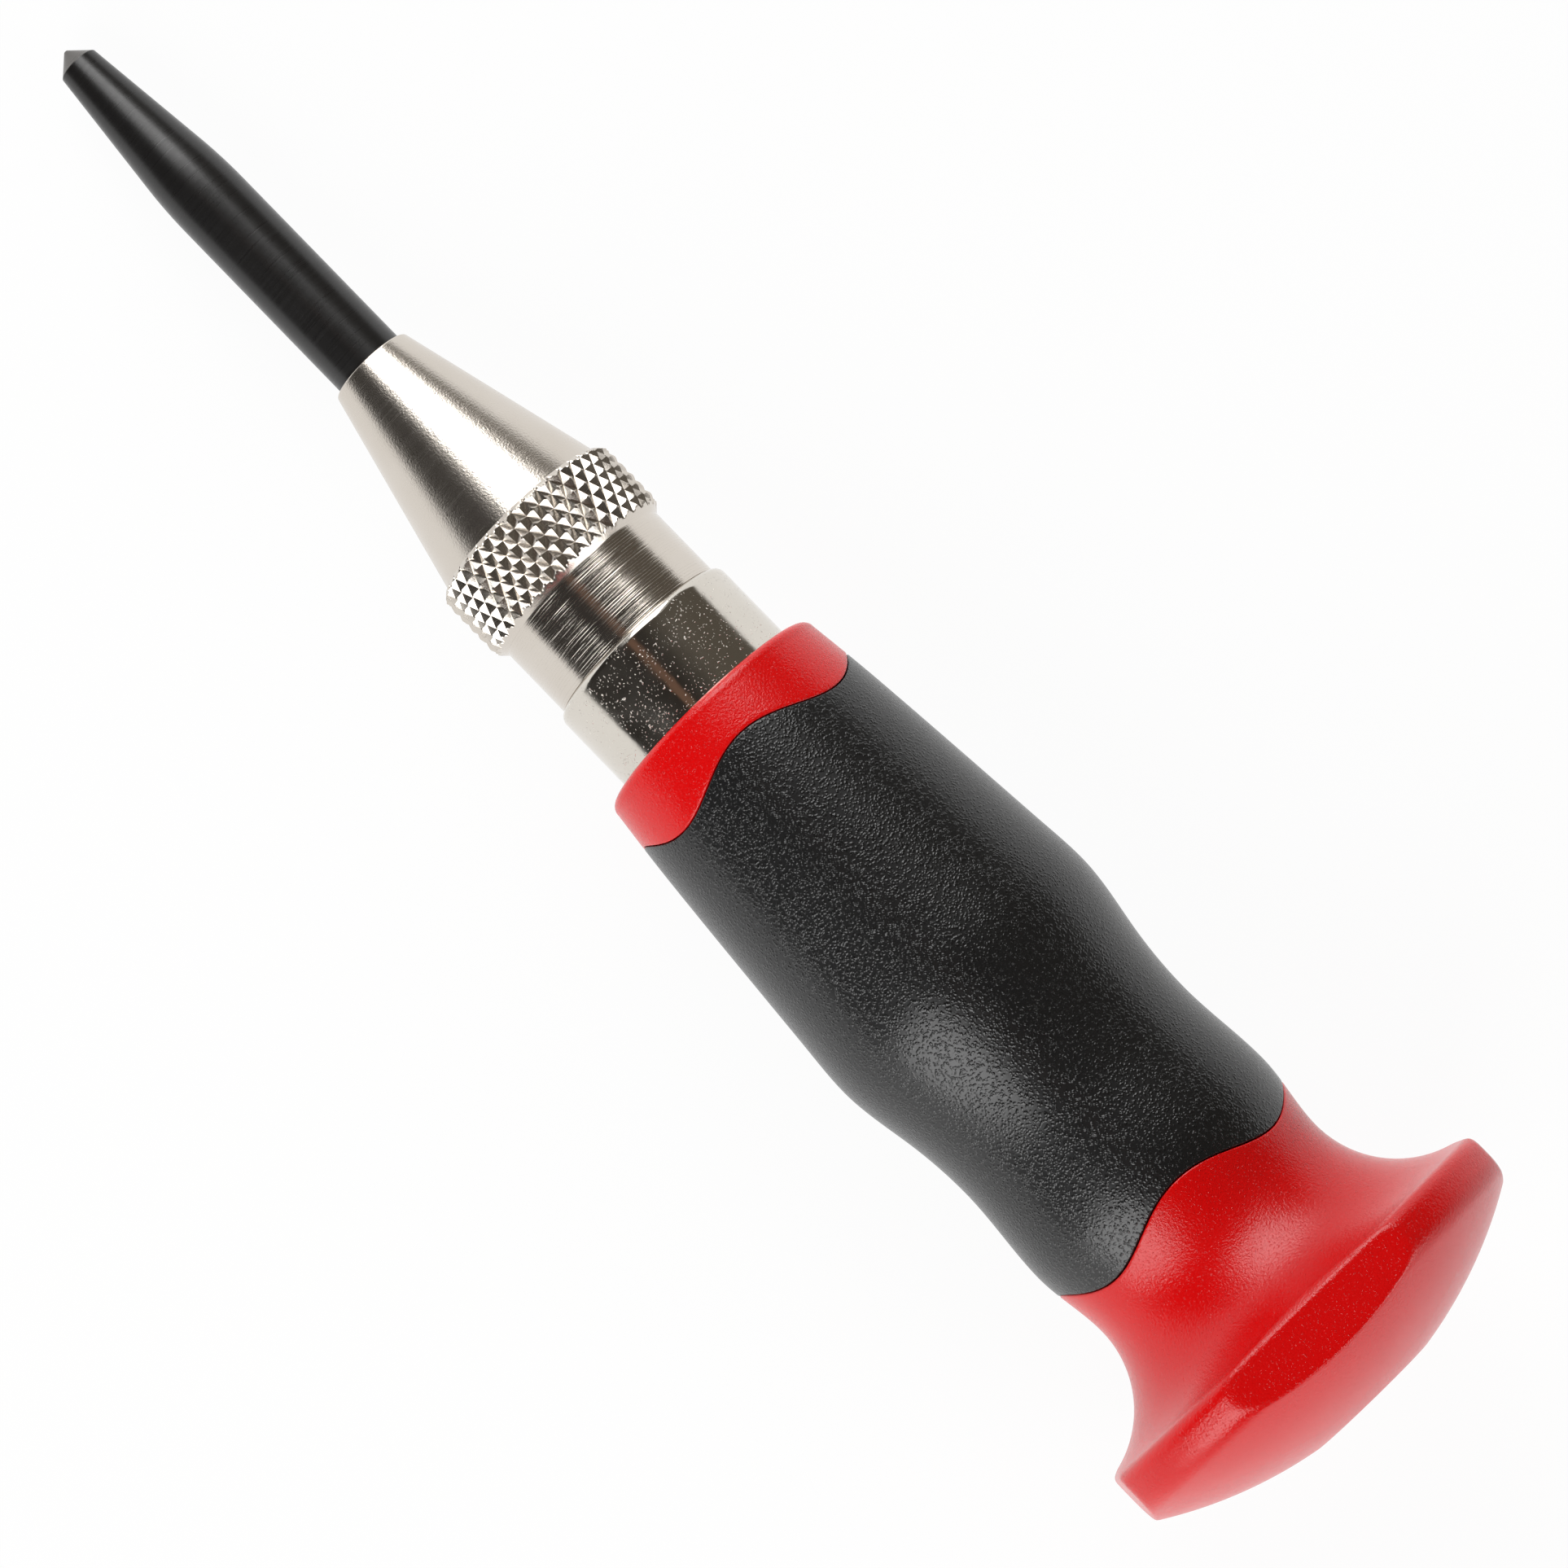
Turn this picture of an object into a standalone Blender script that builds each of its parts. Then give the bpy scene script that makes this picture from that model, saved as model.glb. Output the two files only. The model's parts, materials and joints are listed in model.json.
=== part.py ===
"""Automatic center punch: a spring-loaded punch with a screwed nose, a trip hammer and a moulded palm handle.

Sizes are in millimetres. A station z runs along the tool from the tip of the punch (0) to the crown of the
palm knob (170). An angle goes round the tool from the side that faces up. The tool lies on a table, on its
knurled band and on one flat of the palm knob, with the tip toward -X.
"""
import math

import bmesh
import bpy
from mathutils import Matrix, Vector

MM = 0.001
GAP = 0.3
BREAK = 0.4

# Punch point, plunger and drive pin: one sliding group
STROKE = 9.0
TIP_FLAT_R = 0.2
CONE_R = 2.0
ROD_R = 3.61
TAPER_SLOPE = 0.104
TAPER_BLEND_Z = 20.0
COLLAR_R = 5.7
COLLAR_Z = 50.3
COLLAR_LENGTH = 3.0
SHANK_R = 2.5
SHANK_LENGTH = 8.7
PLUNGER_R = 3.6
STRIKE_FACE_Z = 84.2
PIN_R = 1.6
PIN_TIP_Z = 95.7
PIN_SEAT_Z = 76.0

# Nose: cone, knurled band, relief neck and screwed spigot
NOSE_Z = 40.87
NOSE_R = 4.23
NOSE_BORE_R = ROD_R + GAP
NOSE_COUNTERBORE_Z = COLLAR_Z - GAP
NOSE_COUNTERBORE_R = 6.2
CONE_END_Z = 60.75
CONE_END_R = 9.12
KNURL_R = 10.15
KNURL_DEPTH = 0.6
KNURL_FRONT_Z = 61.2
KNURL_REAR_Z = 68.15
KNURL_COUNT = 40
KNURL_ROWS = 6
NECK_R = 9.2
NECK_Z = 68.55
SPIGOT_R = 8.3
SPIGOT_END_Z = 82.0

# Barrel and what is fixed in it
BARREL_R = 9.87
BARREL_FRONT_Z = 76.0
BARREL_REAR_Z = 152.0
BARREL_EDGE = 0.8
BARREL_BORE_R = 8.6
RAMP_Z = 96.0
RAMP_LENGTH = 14.0
BUSH_BORE_R = 4.0
BUSH_REAR_Z = 92.35
RING_WIRE_R = 0.45
RING_Z = 93.1
RING_GROOVE_R = 9.2
RING_OPENING_DEG = 40.0
SEAT_Z = 146.3
SPRING_SPIGOT_R = 3.6
SPRING_SPIGOT_LENGTH = 3.8
PLUG_SEAT_Z = 148.6
PLUG_R = 7.3
PLUG_SLOT_WIDTH = 1.4
PLUG_SLOT_DEPTH = 1.3

# Hammer and its trip slide: the ramp pushes the slide in by TRIP_SHIFT over the stroke
TRIP_SHIFT = 1.5
HAMMER_R = 5.95
HAMMER_FRONT_Z = 92.7
HAMMER_REAR_Z = 122.0
PIN_BORE_R = 2.0
PIN_BORE_END_Z = 108.0
SLIDE_Z = 96.0
SLIDE_HEIGHT = 5.0
SLIDE_HALF_WIDTH = 3.2
SLIDE_BACK_Y = -1.9
SLIDE_HOLE_R = 2.1
SLOT_BACK_Y = -4.3
LEAF_THICKNESS = 0.35
LEAF_HALF_LENGTH = 3.0
LEAF_WIDTH = 4.4

# Springs: wire radius, mean radius, open turns, and the gap between turns at the closed ends
RETURN_WIRE_R = 0.5
RETURN_MEAN_R = 5.0
RETURN_TURNS = 9
MAIN_WIRE_R = 0.75
MAIN_MEAN_R = 4.75
MAIN_TURNS = 7
END_TURN_GAP = 0.5
POINTS_PER_TURN = 8

# Handle: red core and black grip share one outer profile
HANDLE_FRONT_Z = 85.05
HANDLE_EDGE = 0.9
HANDLE_BORE_END_Z = 152.5
PALM_CORE_R = 9.0
PALM_CORE_END_Z = 163.5
GRIP_CORE_R = 11.4
WAVE_LOBES = 4
FRONT_WAVE_Z = 91.0
FRONT_WAVE_HEIGHT = 1.2
REAR_WAVE_Z = 145.3
REAR_WAVE_HEIGHT = 1.23
# station, radius and slope where the hand-shaped profile swells and narrows
HANDLE_PROFILE = (
    (HANDLE_FRONT_Z, 12.06, 0.120),
    (93.6, 13.00, 0.090),
    (112.0, 14.50, 0.078),
    (117.7, 14.87, 0.0),
    (124.5, 14.00, -0.175),
    (132.1, 13.32, 0.0),
    (141.6, 13.90, 0.0),
    (148.95, 13.14, 0.0),
)
FLARE_R = 9.85
RIM_R = 23.6
RIM_FRONT_EDGE = 1.0
RIM_REAR_EDGE = 2.5
FLAT_APOTHEM = 21.3
FLAT_COUNT = 4
FLAT_EDGE = 0.5
CROWN_Z = 170.0
DOME_R = 41.0
RECESS_R = 6.9
RECESS_DEPTH = 0.45

# Facets round a piece
OUTER_SEGMENTS = 48
INNER_SEGMENTS = 32
WIRE_SEGMENTS = 24

# Worked out from the driving dimensions
COLLAR_END_Z = COLLAR_Z + COLLAR_LENGTH
SHANK_END_Z = COLLAR_END_Z + SHANK_LENGTH
SLIDE_END_Z = SLIDE_Z + SLIDE_HEIGHT
SLIDE_MID_Z = SLIDE_Z + SLIDE_HEIGHT / 2
RAMP_SLOPE = TRIP_SHIFT / STROKE
MAIN_BORE_R = BARREL_BORE_R - RAMP_SLOPE * RAMP_LENGTH
WAIST_Z, WAIST_R = HANDLE_PROFILE[-1][:2]
FLAT_FRONT_Z = WAIST_Z + math.sqrt(FLARE_R ** 2 - (WAIST_R + FLARE_R - FLAT_APOTHEM) ** 2) + FLAT_EDGE
TILT = math.atan2(FLAT_APOTHEM - KNURL_R, FLAT_FRONT_Z - KNURL_FRONT_Z)


def clear_scene():
    """Start from an empty scene with one collection for the parts and one for the cutters."""
    for thing in list(bpy.data.objects):
        bpy.data.objects.remove(thing, do_unlink=True)
    groups = []
    for name in ("automatic_center_punch", "cutters"):
        group = bpy.data.collections.new(name)
        bpy.context.scene.collection.children.link(group)
        groups.append(group)
    return groups


PARTS, CUTTERS = clear_scene()


def finish(name, colour, roughness, metallic):
    """A Principled material of one colour."""
    made = bpy.data.materials.new(name)
    made.use_nodes = True
    shader = made.node_tree.nodes["Principled BSDF"]
    shader.inputs["Base Color"].default_value = (*colour, 1.0)
    shader.inputs["Roughness"].default_value = roughness
    shader.inputs["Metallic"].default_value = metallic
    return made


def add_axis():
    """The empty on the tool's axis that every piece hangs on: its Z leans by TILT from the table."""
    empty = bpy.data.objects.new("tool_axis", None)
    PARTS.objects.link(empty)
    empty.rotation_euler = (0.0, math.pi / 2 - TILT, 0.0)
    return empty


TOOL_AXIS = add_axis()


def add_part(name, data, material):
    """Link a mesh or curve as a named piece on the tool's axis."""
    piece = bpy.data.objects.new(name, data)
    PARTS.objects.link(piece)
    piece.parent = TOOL_AXIS
    data.materials.append(material)
    return piece


def add_cutter(name, data):
    """Link a mesh as a hidden cutting shape on the tool's axis."""
    tool = bpy.data.objects.new(name, data)
    CUTTERS.objects.link(tool)
    tool.parent = TOOL_AXIS
    tool.hide_render = True
    tool.display_type = "WIRE"
    return tool


def smooth(mesh, angle=35.0):
    """Shade a mesh smooth, with sharp edges past an angle."""
    mesh.shade_smooth()
    mesh.set_sharp_from_angle(angle=math.radians(angle))


def bake(piece):
    """Turn a piece's modifiers into its mesh, and shade it smooth."""
    bpy.context.view_layer.update()
    graph = bpy.context.evaluated_depsgraph_get()
    mesh = bpy.data.meshes.new_from_object(piece.evaluated_get(graph))
    mesh.name = piece.name
    piece.modifiers.clear()
    piece.data = mesh
    smooth(mesh)


def cut(piece, *cutters, operation="DIFFERENCE"):
    """Boolean a piece with each cutter in turn."""
    for cutter in cutters:
        step = piece.modifiers.new(cutter.name, "BOOLEAN")
        step.operation = operation
        step.object = cutter
    bake(piece)


def box_mesh(name, low, high):
    """A box between two corners."""
    body = bmesh.new()
    bmesh.ops.create_cube(body, size=1.0)
    size = [(b - a) * MM for a, b in zip(low, high)]
    centre = [(a + b) / 2 * MM for a, b in zip(low, high)]
    bmesh.ops.scale(body, vec=size, verts=body.verts)
    bmesh.ops.translate(body, vec=centre, verts=body.verts)
    mesh = bpy.data.meshes.new(name)
    body.to_mesh(mesh)
    body.free()
    return mesh


def prism_mesh(name, corners, half_width):
    """A prism across the tool: (x, station) corners carried from one side of the axis to the other."""
    body = bmesh.new()
    near = [body.verts.new((x * MM, -half_width * MM, z * MM)) for x, z in corners]
    far = [body.verts.new((x * MM, half_width * MM, z * MM)) for x, z in corners]
    body.faces.new(near)
    body.faces.new(far)
    for i in range(len(corners)):
        body.faces.new((near[i - 1], near[i], far[i], far[i - 1]))
    bmesh.ops.recalc_face_normals(body, faces=body.faces)
    mesh = bpy.data.meshes.new(name)
    body.to_mesh(mesh)
    body.free()
    return mesh


def frustum_mesh(name, low_z, high_z, low_r, high_r, centre_y=0.0):
    """A capped cone or cylinder along the tool's axis."""
    body = bmesh.new()
    bmesh.ops.create_cone(
        body, cap_ends=True, segments=INNER_SEGMENTS,
        radius1=low_r * MM, radius2=high_r * MM, depth=(high_z - low_z) * MM,
    )
    bmesh.ops.translate(body, vec=(0.0, centre_y * MM, (low_z + high_z) / 2 * MM), verts=body.verts)
    mesh = bpy.data.meshes.new(name)
    body.to_mesh(mesh)
    body.free()
    return mesh


def turned(name, profile, material, segments=INNER_SEGMENTS, closed=False):
    """Turn a profile of (radius, station) points, rear to front down the outer side, into a solid."""
    mesh = bpy.data.meshes.new(name)
    points = [(r * MM, 0.0, z * MM) for r, z in profile]
    edges = [(i, i + 1) for i in range(len(points) - 1)]
    if closed:
        edges.append((len(points) - 1, 0))
    mesh.from_pydata(points, edges, [])
    piece = add_part(name, mesh, material)
    screw = piece.modifiers.new("turn", "SCREW")
    screw.steps = segments
    screw.render_steps = segments
    screw.use_merge_vertices = True
    screw.merge_threshold = 0.00001
    bake(piece)
    return piece


def arc(centre, radius, start_deg, end_deg, count):
    """Points (radius, station) on an arc: 0 degrees points outward and 90 degrees points to the rear."""
    r0, z0 = centre
    turns = [math.radians(start_deg + (end_deg - start_deg) * i / count) for i in range(count + 1)]
    return [(r0 + radius * math.cos(a), z0 + radius * math.sin(a)) for a in turns]


def ring(station, radius, count):
    """A ring of points. Station may be a function of the angle, and radius one of both."""
    points = []
    for i in range(count):
        angle = 2 * math.pi * i / count
        z = station(angle) if callable(station) else station
        r = radius(angle, z) if callable(radius) else radius
        points.append(Vector((-r * math.cos(angle), r * math.sin(angle), z)) * MM)
    return points


def loft(name, stations, count, material, closed=False):
    """Skin rings at (station, radius) pairs. A closed row ends on its first ring, an open one is capped."""
    body = bmesh.new()
    rows = [[body.verts.new(p) for p in ring(z, r, count)] for z, r in stations]
    pairs = list(zip(rows, rows[1:]))
    if closed:
        pairs.append((rows[-1], rows[0]))
    else:
        body.faces.new(rows[0])
        body.faces.new(rows[-1])
    for row, following in pairs:
        for i in range(count):
            j = (i + 1) % count
            body.faces.new((row[i], row[j], following[j], following[i]))
    bmesh.ops.triangulate(body, faces=body.faces, quad_method="SHORT_EDGE")
    bmesh.ops.recalc_face_normals(body, faces=body.faces)
    mesh = bpy.data.meshes.new(name)
    body.to_mesh(mesh)
    body.free()
    smooth(mesh)
    return add_part(name, mesh, material)


def outline_part(name, points, thickness, centre_z, material):
    """A flat outline across the tool, extruded along it."""
    data = bpy.data.curves.new(name, "CURVE")
    data.dimensions = "2D"
    data.fill_mode = "BOTH"
    data.extrude = thickness / 2 * MM
    spline = data.splines.new("POLY")
    spline.points.add(len(points) - 1)
    for point, (x, y) in zip(spline.points, points):
        point.co = (x * MM, y * MM, 0.0, 1.0)
    spline.use_cyclic_u = True
    piece = add_part(name, data, material)
    piece.location = (0.0, 0.0, centre_z * MM)
    return piece


def wire_part(name, points, wire_r, material):
    """A round wire along a row of points."""
    data = bpy.data.curves.new(name, "CURVE")
    data.dimensions = "3D"
    data.bevel_depth = wire_r * MM
    data.bevel_resolution = 1
    data.use_fill_caps = True
    spline = data.splines.new("POLY")
    spline.points.add(len(points) - 1)
    for point, place in zip(spline.points, points):
        point.co = (*(Vector(place) * MM), 1.0)
    return add_part(name, data, material)


def coil_points(mean_r, wire_r, turns, low_z, high_z):
    """A compression spring between two stations: a helix of open turns with one close turn at each end."""
    close = 2 * wire_r + END_TURN_GAP
    pitch = (high_z - low_z - 2 * wire_r - 2 * close) / turns
    points = []
    for i in range((turns + 2) * POINTS_PER_TURN + 1):
        turn = i / POINTS_PER_TURN
        close_turns = min(turn, 1.0) + max(turn - 1.0 - turns, 0.0)
        open_turns = turn - close_turns
        angle = 2 * math.pi * turn
        z = low_z + wire_r + close * close_turns + pitch * open_turns
        points.append((mean_r * math.cos(angle), mean_r * math.sin(angle), z))
    return points


def least_gap(points, wire_r):
    """The least clear distance between turns of a coil, on its points."""
    places = [Vector(p) for p in points]
    apart = POINTS_PER_TURN * 2 // 3
    pairs = ((a, b) for i, a in enumerate(places) for b in places[i + apart:])
    return min((b - a).length for a, b in pairs) - 2 * wire_r


def coil(name, mean_r, wire_r, turns, low_z, high_z, material):
    """A coil spring, with its least gap to itself printed."""
    points = coil_points(mean_r, wire_r, turns, low_z, high_z)
    print(f"{name}: least gap to itself {least_gap(points, wire_r):.2f} mm")
    return wire_part(name, points, wire_r, material)


def handle_radius(z):
    """Outer radius of the handle ahead of its waist: cubic arcs through the profile's stations."""
    for (z0, r0, m0), (z1, r1, m1) in zip(HANDLE_PROFILE, HANDLE_PROFILE[1:]):
        if z <= z1:
            break
    span = z1 - z0
    t = (z - z0) / span
    swell = r0 + (r1 - r0) * t * t * (3 - 2 * t)
    return swell + span * t * (1 - t) * (m0 * (1 - t) - m1 * t)


def on_handle(angle, z):
    """Radius of the handle's skin, which is round at every station."""
    return handle_radius(z)


def front_wave(angle):
    """Station of the wavy edge between the red collar and the grip."""
    return FRONT_WAVE_Z - FRONT_WAVE_HEIGHT * math.cos(WAVE_LOBES * angle)


def rear_wave(angle):
    """Station of the wavy edge between the grip and the red palm."""
    return REAR_WAVE_Z - REAR_WAVE_HEIGHT * math.cos(WAVE_LOBES * angle)


def make_punch(black_steel, steel):
    """The point with its collar, the plunger behind it, the hardened drive pin and the return spring."""
    cone_z = CONE_R - TIP_FLAT_R
    taper_end_z = cone_z + (ROD_R - CONE_R) / TAPER_SLOPE
    blend_length = 2 * (TAPER_BLEND_Z - taper_end_z)
    blend = []
    for share in (0.25, 0.5, 0.75, 1.0):
        drop = TAPER_SLOPE * blend_length / 2 * share ** 2
        blend.append((ROD_R - drop, TAPER_BLEND_Z - blend_length * share))
    turned("punch_point", [
        (0.0, SHANK_END_Z), (SHANK_R - BREAK, SHANK_END_Z), (SHANK_R, SHANK_END_Z - BREAK),
        (SHANK_R, COLLAR_END_Z), (COLLAR_R - BREAK, COLLAR_END_Z), (COLLAR_R, COLLAR_END_Z - BREAK),
        (COLLAR_R, COLLAR_Z + BREAK), (COLLAR_R - BREAK, COLLAR_Z), (ROD_R, COLLAR_Z),
        (ROD_R, TAPER_BLEND_Z), *blend, (CONE_R, cone_z), (TIP_FLAT_R, 0.0), (0.0, 0.0),
    ], black_steel)
    front_z = COLLAR_END_Z + GAP
    socket_r = SHANK_R + GAP
    socket_end = SHANK_END_Z + GAP
    seat_r = PIN_R + GAP
    turned("plunger", [
        (0.0, PIN_SEAT_Z), (seat_r, PIN_SEAT_Z), (seat_r, STRIKE_FACE_Z), (PLUNGER_R - BREAK, STRIKE_FACE_Z),
        (PLUNGER_R, STRIKE_FACE_Z - BREAK), (PLUNGER_R, front_z), (socket_r, front_z),
        (socket_r, socket_end), (0.0, socket_end),
    ], steel)
    turned("drive_pin", [
        (0.0, PIN_TIP_Z), (PIN_R - BREAK, PIN_TIP_Z), (PIN_R, PIN_TIP_Z - BREAK), (PIN_R, PIN_SEAT_Z + GAP),
        (0.0, PIN_SEAT_Z + GAP),
    ], steel, segments=WIRE_SEGMENTS)
    coil("return_spring", RETURN_MEAN_R, RETURN_WIRE_R, RETURN_TURNS, front_z, SPIGOT_END_Z, steel)


def make_nose(plated):
    """The screwed nose: a cone, a band of diamond points, a relief neck and the spigot inside the barrel."""
    count = 2 * KNURL_COUNT
    row_pitch = (KNURL_REAR_Z - KNURL_FRONT_Z) / KNURL_ROWS

    def diamond(row):
        """Radius round one row of the knurl: points and valleys take turns, and swap on the next row."""
        def radius(angle, z):
            step = round(angle / (2 * math.pi) * count)
            return KNURL_R if (step + row) % 2 == 0 else KNURL_R - KNURL_DEPTH
        return radius

    neck_end = BARREL_FRONT_Z - GAP
    loft("nose_cone", [
        (NOSE_Z, NOSE_R - BREAK), (NOSE_Z + BREAK / 2, NOSE_R - BREAK / 4), (CONE_END_Z, CONE_END_R),
        *[(KNURL_FRONT_Z + row_pitch * row, diamond(row)) for row in range(KNURL_ROWS + 1)],
        (NECK_Z, NECK_R), (neck_end, NECK_R), (neck_end, SPIGOT_R), (SPIGOT_END_Z, SPIGOT_R),
        (SPIGOT_END_Z, NOSE_COUNTERBORE_R), (NOSE_COUNTERBORE_Z, NOSE_COUNTERBORE_R),
        (NOSE_COUNTERBORE_Z, NOSE_BORE_R), (NOSE_Z, NOSE_BORE_R),
    ], count, plated, closed=True)


def make_barrel(plated, steel):
    """The barrel with its trip ramp, and the bush, snap ring, spring seat and plug that it holds."""
    groove_low = RING_Z - RING_WIRE_R - GAP
    groove_high = RING_Z + RING_WIRE_R + GAP
    plug_bore_r = PLUG_R + GAP
    front_edge = arc((BARREL_R - BARREL_EDGE, BARREL_FRONT_Z + BARREL_EDGE), BARREL_EDGE, 0.0, -90.0, 4)
    turned("barrel", [
        (plug_bore_r, BARREL_REAR_Z), (BARREL_R, BARREL_REAR_Z), *front_edge,
        (BARREL_BORE_R, BARREL_FRONT_Z), (BARREL_BORE_R, groove_low), (RING_GROOVE_R, groove_low),
        (RING_GROOVE_R, groove_high), (BARREL_BORE_R, groove_high), (BARREL_BORE_R, RAMP_Z),
        (MAIN_BORE_R, RAMP_Z + RAMP_LENGTH), (MAIN_BORE_R, PLUG_SEAT_Z), (plug_bore_r, PLUG_SEAT_Z),
    ], plated, segments=OUTER_SEGMENTS, closed=True)
    bush_r = BARREL_BORE_R - GAP
    bush_front = SPIGOT_END_Z + GAP
    turned("guide_bush", [
        (BUSH_BORE_R, BUSH_REAR_Z), (bush_r - BREAK, BUSH_REAR_Z), (bush_r, BUSH_REAR_Z - BREAK),
        (bush_r, bush_front), (BUSH_BORE_R, bush_front),
    ], steel, closed=True)
    ring_r = RING_GROOVE_R - GAP - RING_WIRE_R
    points = []
    for i in range(WIRE_SEGMENTS + 1):
        angle = math.radians(RING_OPENING_DEG / 2 + (360.0 - RING_OPENING_DEG) * i / WIRE_SEGMENTS)
        points.append((ring_r * math.cos(angle), ring_r * math.sin(angle), RING_Z))
    wire_part("retaining_ring", points, RING_WIRE_R, steel)
    seat_r = MAIN_BORE_R - GAP
    spigot_z = SEAT_Z - SPRING_SPIGOT_LENGTH
    turned("spring_seat", [
        (0.0, PLUG_SEAT_Z), (seat_r, PLUG_SEAT_Z), (seat_r, SEAT_Z), (SPRING_SPIGOT_R, SEAT_Z),
        (SPRING_SPIGOT_R, spigot_z + BREAK), (SPRING_SPIGOT_R - BREAK, spigot_z), (0.0, spigot_z),
    ], steel)
    plug_front = PLUG_SEAT_Z + GAP
    plug = turned("end_plug", [
        (0.0, BARREL_REAR_Z), (PLUG_R - BREAK, BARREL_REAR_Z), (PLUG_R, BARREL_REAR_Z - BREAK),
        (PLUG_R, plug_front), (0.0, plug_front),
    ], steel)
    reach = 2 * PLUG_R
    half = PLUG_SLOT_WIDTH / 2
    cut(plug, add_cutter("plug_slot", box_mesh(
        "plug_slot", (-reach, -half, BARREL_REAR_Z - PLUG_SLOT_DEPTH), (reach, half, CROWN_Z))))


def make_trip_slide(steel):
    """The sliding catch: its outer end follows the barrel's ramp, and its hole starts off centre."""
    slide = add_part("trip_slide", box_mesh(
        "trip_slide", (-SLIDE_HALF_WIDTH, SLIDE_BACK_Y, SLIDE_Z), (SLIDE_HALF_WIDTH, BARREL_R, SLIDE_END_Z),
    ), steel)
    past = 1.0
    low_z = SLIDE_Z - past
    high_z = SLIDE_END_Z + past
    low_r = BARREL_BORE_R - GAP + RAMP_SLOPE * past
    high_r = low_r - RAMP_SLOPE * (high_z - low_z)
    ramp = add_cutter("slide_ramp", frustum_mesh("slide_ramp", low_z, high_z, low_r, high_r))
    hole = frustum_mesh("slide_hole", low_z, high_z, SLIDE_HOLE_R, SLIDE_HOLE_R, TRIP_SHIFT)
    cut(slide, ramp, operation="INTERSECT")
    cut(slide, add_cutter("slide_hole", hole))
    slide.data.transform(Matrix.Translation((0.0, 0.0, -SLIDE_MID_Z * MM)))
    slide.location = (0.0, 0.0, SLIDE_MID_Z * MM)


def make_hammer(steel):
    """The hammer with its cross slot, the trip slide and leaf in the slot, and the main spring."""
    spigot_end = HAMMER_REAR_Z + SPRING_SPIGOT_LENGTH
    hammer = turned("hammer", [
        (0.0, spigot_end), (SPRING_SPIGOT_R - BREAK, spigot_end), (SPRING_SPIGOT_R, spigot_end - BREAK),
        (SPRING_SPIGOT_R, HAMMER_REAR_Z), (HAMMER_R - BREAK, HAMMER_REAR_Z),
        (HAMMER_R, HAMMER_REAR_Z - BREAK), (HAMMER_R, HAMMER_FRONT_Z + BREAK),
        (HAMMER_R - BREAK, HAMMER_FRONT_Z), (PIN_BORE_R, HAMMER_FRONT_Z),
        (PIN_BORE_R, PIN_BORE_END_Z), (0.0, PIN_BORE_END_Z),
    ], steel)
    slot_half = SLIDE_HALF_WIDTH + GAP
    cut(hammer, add_cutter("slide_slot", box_mesh(
        "slide_slot", (-slot_half, SLOT_BACK_Y, SLIDE_Z - GAP), (slot_half, BARREL_R, SLIDE_END_Z + GAP))))
    make_trip_slide(steel)
    ends_y = SLOT_BACK_Y + GAP
    bow = SLIDE_BACK_Y - GAP - LEAF_THICKNESS - ends_y
    steps = 10
    spans = [LEAF_HALF_LENGTH * (2 * i / steps - 1) for i in range(steps + 1)]
    back = [(x, ends_y + bow * (1 - (x / LEAF_HALF_LENGTH) ** 2)) for x in spans]
    face = [(x, y + LEAF_THICKNESS) for x, y in reversed(back)]
    outline_part("trip_spring", back + face, LEAF_WIDTH, SLIDE_MID_Z, steel)
    coil("main_spring", MAIN_MEAN_R, MAIN_WIRE_R, MAIN_TURNS, HAMMER_REAR_Z + GAP, SEAT_Z - GAP, steel)


def palm_profile():
    """(station, radius) points from the waist over the flare, rim and dome to the recess in the crown."""
    flare = arc((WAIST_R + FLARE_R, WAIST_Z), FLARE_R, 180.0, 94.0, 8)
    rim_z = WAIST_Z + FLARE_R + RIM_FRONT_EDGE
    rim_front = arc((RIM_R - RIM_FRONT_EDGE, rim_z), RIM_FRONT_EDGE, -90.0, 0.0, 3)
    dome_z = CROWN_Z - DOME_R
    rear_r = RIM_R - RIM_REAR_EDGE
    lean = math.acos(rear_r / (DOME_R - RIM_REAR_EDGE))
    rear_z = dome_z + (DOME_R - RIM_REAR_EDGE) * math.sin(lean)
    rim_rear = arc((rear_r, rear_z), RIM_REAR_EDGE, 0.0, math.degrees(lean), 4)
    recess_deg = math.degrees(math.acos(RECESS_R / DOME_R))
    dome = arc((0.0, dome_z), DOME_R, math.degrees(lean), recess_deg, 6)
    recess = [(RECESS_R, dome[-1][1] - RECESS_DEPTH)]
    return [(z, r) for r, z in flare + rim_front + rim_rear + dome[1:] + recess]


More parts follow.
